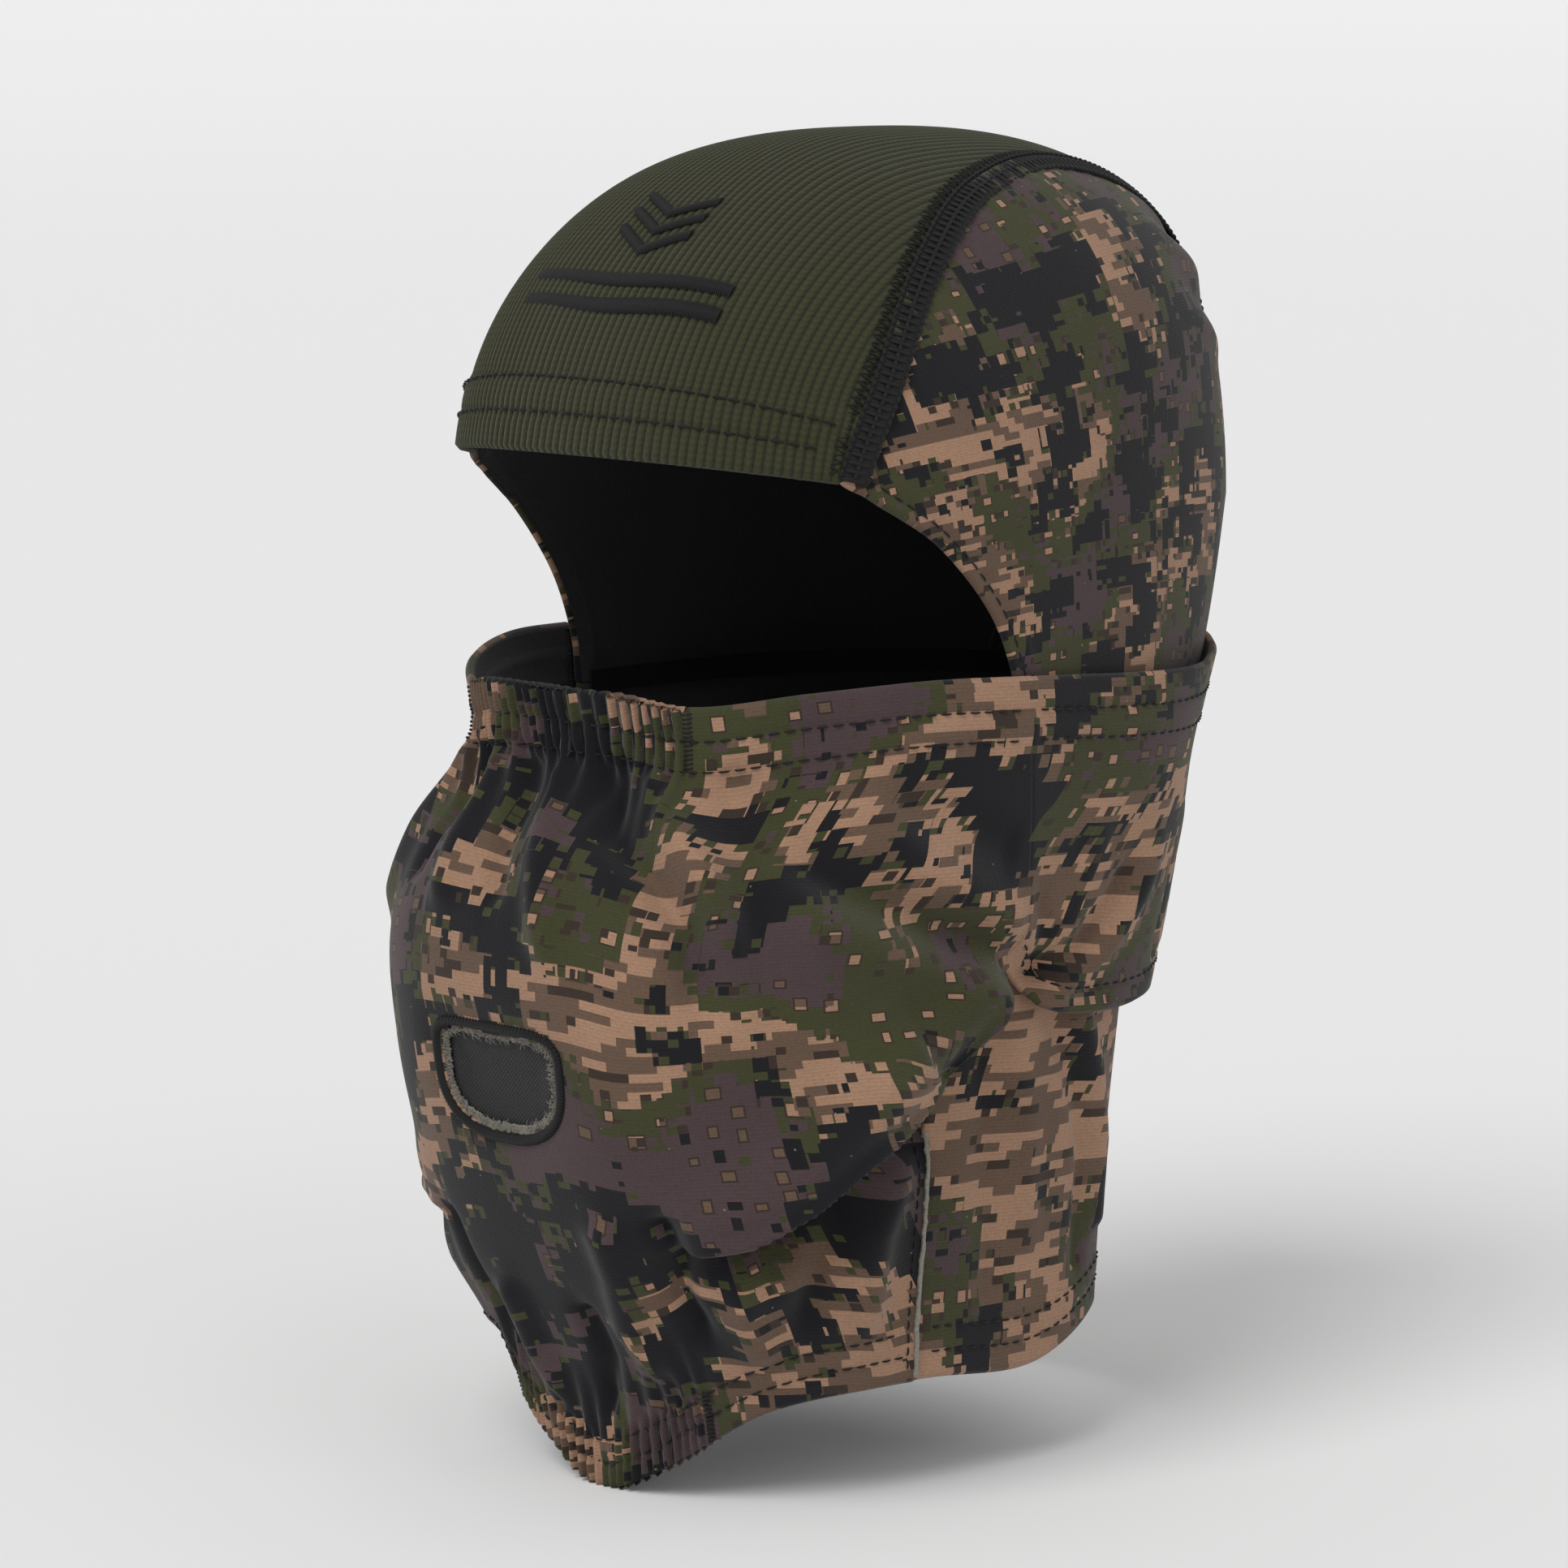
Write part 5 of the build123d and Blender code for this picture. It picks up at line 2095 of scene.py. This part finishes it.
    def _vent_mesh(self, panel: Panel, wardrobe: Wardrobe) -> None:
        """Mesh behind the vent, slightly hollow.

        Args:
            panel: the finished front cloth.
            wardrobe: the materials.
        """
        vent = self.cloth.vent
        reach_x = vent.width / 2 + vent.lap
        reach_z = vent.height / 2 + vent.lap + 1
        z, x = np.meshgrid(
            np.linspace(vent.middle_z + reach_z, vent.middle_z - reach_z, 48),
            np.linspace(-reach_x, reach_x, 72), indexing="ij",
        )
        points, _ = self.cloth.facing(panel, x, z)
        gap = vent.signed(x, z)
        depth = 2.2 + 1.2 * smoothstep(-1, -9, gap)
        points = points - unit(points * [1, 1, 0]) * depth[..., None]
        inside = gap < vent.lap
        keep = inside[:-1, :-1] & inside[1:, :-1] & inside[:-1, 1:] & inside[1:, 1:]
        mesh = Panel(points, arc_uv(points), 0.4, (0, 0, -90), keep).build("vent_mesh")
        wardrobe.dress(mesh, wardrobe.mesh, wardrobe.mesh, wardrobe.mesh)
        Rig.pull(mesh, "mesh_knit", "mouth_mesh")

    def _fringe(self, panel: Panel, outline: np.ndarray, away: np.ndarray, wardrobe: Wardrobe) -> None:
        """Loose fibres of the cut edge.

        Args:
            panel: the finished front cloth.
            outline: points of the vent.
            away: outward directions of the outline.
            wardrobe: the materials.
        """
        rng = np.random.default_rng(23)
        work = ThreadWork()
        work.SIDES = 4
        for _ in range(620):
            i = rng.integers(len(outline))
            reach = -rng.uniform(0.2, self.cloth.vent.fringe)
            a = outline[i] + away[i] * reach
            b = a - away[i] * rng.uniform(0.5, 1.5) + rng.normal(0, 0.5, 2)
            ends, out = self.cloth.facing(panel, np.array([a[0], b[0]]), np.array([a[1], b[1]]))
            rise = rng.uniform(0.2, 0.9)
            work.stitch(ends[0] - out[0] * 0.4, ends[1] - out[1] * 0.9, out[0], 0.16, rise, 0.0)
        fringe = work.build("vent_raw_fibres")
        wardrobe.dress(fringe, wardrobe.edge)
        Rig.pull(fringe, "camo_knit")


@dataclass
class Wing:
    """Half of the band that runs from the mask front round the back of the head."""

    side: Side
    front: FrontCloth
    top_edge: tuple = ((74, 2.6), (100, 0.5), (125, 0.0), (150, 2.0), (180, 3.0))
    bottom_edge: tuple = ((74, -67.5), (77, -71.0), (80, -78.5), (90, -82.0), (120, -82.0), (180, -81.0))
    hem_row: float = 6.0
    cloth: float = 1.4
    rows: int = 84
    columns: int = 170
    flat: tuple = (0.165, 0.085)

    def patch(self, front: Panel) -> Panel:
        """The cloth with its turned top hem and the pinch at its lower front corner.

        Args:
            front: the finished front cloth.

        Returns:
            The cloth.
        """
        down, across = np.meshgrid(np.linspace(0, 1, self.rows), np.linspace(0, 1, self.columns),
                                   indexing="ij")
        angle = 74.0 + 106.0 * across
        top = smooth_table(list(self.top_edge), angle)
        bottom = smooth_table(list(self.bottom_edge), angle)
        z = top + (bottom - top) * down
        base = MASK_FORM.round(angle, z)
        uv = arc_uv(base)
        normals = Panel(base, uv, 1.0, (0, 0, -40)).normals
        below = top - z
        up = z - bottom
        k = 1.55
        x = angle * k
        relief = 0.8 * soft_noise(x / 60, z / 60, 31 + self.side.value)
        folds = (
            (((80, -71), (88, -66), (97, -54), (104, -40)), 3.6, -2.6),
            (((84, -75), (94, -68), (103, -56), (112, -38)), 4.5, 2.4),
            (((80, -71), (79, -60), (77, -46)), 4.0, -1.6),
            (((86, -60), (90, -46), (93, -30)), 5.0, 1.4),
            (((118, -70), (124, -50), (128, -28)), 5.0, -1.8),
            (((134, -72), (140, -52), (142, -30)), 6.0, 1.6),
            (((160, -70), (158, -50), (160, -28)), 6.0, -1.4),
        )
        for line, width, height in folds:
            gap, share = distance_to_line(x, z, [(a * k, b) for a, b in line])
            relief += height * bump(gap, width) * (1 - smoothstep(0.7, 1.05, share))
        relief += -3.2 * bump(np.hypot(x - 80 * k, z + 71), 5.0)
        relief *= smoothstep(0, 4, across * 164) * 0.9 + 0.1
        for row in self.front.top_rows:
            relief -= 0.42 * bump(below - row, 0.95)
        relief += 0.45 * (1 - smoothstep(14.7, 16.4, below))
        relief -= 0.4 * bump(up - self.hem_row, 0.95)
        relief += 0.4 * (1 - smoothstep(self.hem_row + 0.5, self.hem_row + 2, up))
        thick = self.cloth + 0.7 * (1 - smoothstep(14.7, 16.4, below))
        thick = thick + 0.7 * (1 - smoothstep(self.hem_row + 0.5, self.hem_row + 2, up))
        points = base + normals * relief[..., None]
        points[..., 0] *= self.side.value
        points, uv = self._join(front, points, uv)
        return Panel(points, uv, thick, (0, 0, -40))

    def _join(self, front: Panel, points: np.ndarray, uv: np.ndarray) -> tuple:
        """Let the wing and its print start where the front cloth ends.

        Args:
            front: the front cloth.
            points: grid of the wing.
            uv: its cloth coordinates.

        Returns:
            The joined grid and coordinates.
        """
        column = -1 if self.side is Side.LEFT else 0
        edge, print_ = front.points[:, column], front.uv[:, column]
        depth = -points[:, 0, 2]
        there = np.stack([np.interp(depth, -edge[:, 2], edge[:, k]) for k in range(3)], -1)
        start = np.stack([np.interp(depth, -edge[:, 2], print_[:, k]) for k in range(2)], -1)
        walked = uv[..., 0] - uv[:, :1, 0]
        fade = (1 - smoothstep(0, 16, walked))[..., None]
        points = points + (there - points[:, 0])[:, None] * fade
        across = start[:, None, 0] + walked * self.side.value
        down = start[:, None, 1] + uv[..., 1] - uv[:, :1, 1]
        return points, np.stack([across, down], -1)

    def build(self, wardrobe: Wardrobe, front: Panel) -> None:
        """Make the wing and its thread rows.

        Args:
            wardrobe: the materials.
            front: the finished front cloth.
        """
        panel = self.patch(front)
        piece = panel.build(self.side.name_of("wing_cloth"))
        wardrobe.dress(piece, wardrobe.camo, wardrobe.lining, wardrobe.camo)
        Rig.pull(piece, "camo_knit", self.side.name_of("mask_wing"))
        self.side.name_of("neck_cloth")
        work = ThreadWork()
        across = np.linspace(0.015, 0.99, 400)
        angle = 74.0 + 106.0 * across
        length = smooth_table(list(self.top_edge), angle) - smooth_table(list(self.bottom_edge), angle)
        for v in [row / length for row in self.front.top_rows] + [1 - self.hem_row / length]:
            points, normals = panel.at(across, v)
            work.row(points + normals * 0.12, normals)
        threads = work.build(self.side.name_of("wing_threads"))
        wardrobe.dress(threads, wardrobe.thread)
        Rig.pull(threads, "black_thread", "rear_band_stitching")
        if self.side is Side.LEFT:
            down = np.linspace(0.004, 0.99, 90)
            points, normals = panel.at(np.ones_like(down), down)
            points[:, 0] = 0
            seam = strip("rear_band_seam_ridge", points, unit(normals * [0, 1, 1]), 2.2, 0.7, -0.45)
            wardrobe.dress(seam, wardrobe.camo)
            Rig.pull(seam, "black_thread", "rear_band_seam")


@dataclass
class InnerSeams:
    """Seams of the neck: the one hidden under the band and the one down the back."""

    def build(self, wardrobe: Wardrobe) -> None:
        """Make the seams.

        Args:
            wardrobe: the materials.
        """
        z = np.linspace(-14, hem_height(np.array(180.0)) + 0.5, 120)
        points = HOOD_FORM.round(np.full_like(z, 180.0), z)
        points[:, 0] = 0
        normals = np.tile([0.0, 1.0, 0.0], (len(z), 1))
        ridge = strip("rear_neck_seam_ridge", points, normals, 2.4, 0.8, -0.3)
        wardrobe.dress(ridge, wardrobe.camo)
        Rig.hold(ridge, Body.HOOD, "black_thread", "rear_neck_seam")
        node = bpy.data.objects.get("neck_seam")
        node.data.materials.clear()
        node.data.materials.append(wardrobe.thread)


# ------------------------------------------------------------------ studio
@dataclass
class Studio:
    """Pale floor, soft lights and the camera."""

    azimuth: float = 45.0
    elevation: float = 8.0
    distance: float = 1500.0
    aim: tuple = (-9.73, -16.22, -32.67)
    lens: float = 135.6
    sensor: float = 36.0
    floor_sides: int = 96
    # Azimuth, elevation, strength and apparent size of each lamp, in degrees
    key: tuple = (12.0, 48.0, 1.55, 34.0)
    fill: tuple = (80.0, 20.0, 0.55, 60.0)
    # Radius and height in metres, from the middle of the floor outwards
    floor_profile: tuple = ((0.0, 0.0), (5.0, 0.0), (9.0, 0.0), (12.0, 0.25), (15.0, 1.0), (17.5, 2.1),
                            (19.0, 3.2))

    def build(self) -> None:
        """Set up everything that isn't the object."""
        self._floor()
        self._light("key_light", *self.key)
        self._light("fill_light", *self.fill)
        self._world()
        self._camera()

    def _floor(self) -> None:
        """A plain pale floor under the lowest point, which rises far away into a low rim."""
        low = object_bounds()[0][2] - 0.0005
        turns = np.linspace(0, 2 * math.pi, self.floor_sides, endpoint=False)
        verts = [(0.0, 0.0, low)]
        for radius, height in self.floor_profile[1:]:
            verts += [(radius * math.cos(t), radius * math.sin(t), low + height) for t in turns]
        n = self.floor_sides
        faces = [(0, 1 + k, 1 + (k + 1) % n) for k in range(n)]
        for ring in range(len(self.floor_profile) - 2):
            first = 1 + ring * n
            for k in range(n):
                after = first + (k + 1) % n
                faces.append((first + k, first + k + n, after + n, after))
        mesh = bpy.data.meshes.new("floor")
        mesh.from_pydata(verts, [], faces)
        mesh.shade_smooth()
        floor = bpy.data.objects.new("floor", mesh)
        bpy.context.collection.objects.link(floor)
        paint = bpy.data.materials.new("matt_studio_floor")
        paint.use_nodes = True
        shader = paint.node_tree.nodes["Principled BSDF"]
        shader.inputs["Base Color"].default_value = linear("#f4f4f4")
        shader.inputs["Roughness"].default_value = 0.9
        mesh.materials.append(paint)
        floor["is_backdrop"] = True

    @staticmethod
    def _light(name: str, azimuth: float, elevation: float, strength: float, spread: float) -> None:
        """A wide soft lamp far away, with its angles in degrees.

        Args:
            name: name of the lamp.
            azimuth: angle round the object.
            elevation: angle over the floor.
            strength: strength of the lamp.
            spread: apparent size of the lamp.
        """
        lamp = bpy.data.lights.new(name, "SUN")
        lamp.energy = strength
        lamp.angle = math.radians(spread)
        holder = bpy.data.objects.new(name, lamp)
        bpy.context.collection.objects.link(holder)
        holder.rotation_euler = (math.radians(90 - elevation), 0.0, math.radians(azimuth))

    @staticmethod
    def _world() -> None:
        """Even pale surroundings."""
        world = bpy.data.worlds.new("studio")
        world.use_nodes = True
        shade = world.node_tree.nodes["Background"]
        shade.inputs[0].default_value = linear("#e7e7e7")
        shade.inputs[1].default_value = 0.58
        bpy.context.scene.world = world
        bpy.context.scene.view_settings.view_transform = "Standard"

    def _camera(self) -> None:
        """Camera in front and to the wearer's left, a little above."""
        turn, rise = math.radians(self.azimuth), math.radians(self.elevation)
        back = np.array([math.sin(turn) * math.cos(rise), -math.cos(turn) * math.cos(rise), math.sin(rise)])
        lens = bpy.data.cameras.new("camera")
        lens.lens = self.lens
        lens.sensor_width = self.sensor
        lens.clip_start = 0.05
        lens.clip_end = 400.0
        camera = bpy.data.objects.new("camera", lens)
        bpy.context.collection.objects.link(camera)
        camera.location = (np.array(self.aim) + back * self.distance) * MM
        camera.rotation_euler = (math.pi / 2 - rise, 0.0, turn)
        bpy.context.scene.camera = camera


def main() -> None:
    """Build every sub-assembly in order."""
    logging.basicConfig(level=logging.INFO, format="%(name)s: %(message)s")
    wardrobe = Wardrobe()
    Studio().build()
    strip_ = CrownStrip()
    strip_.build(wardrobe)
    Emblem().build(wardrobe)
    hem_work = []
    for side in Side:
        CrownSeam(side, strip_).build(wardrobe)
        SidePanel(side, strip_).build(wardrobe)
        hem_work.append(NeckPanel(side).build(wardrobe))
    front = FrontCloth(Vent())
    cloth = Front(front).build(wardrobe, hem_work)
    for side in Side:
        Wing(side, front).build(wardrobe, cloth)
    InnerSeams().build(wardrobe)


if __name__ == "__main__":
    main()
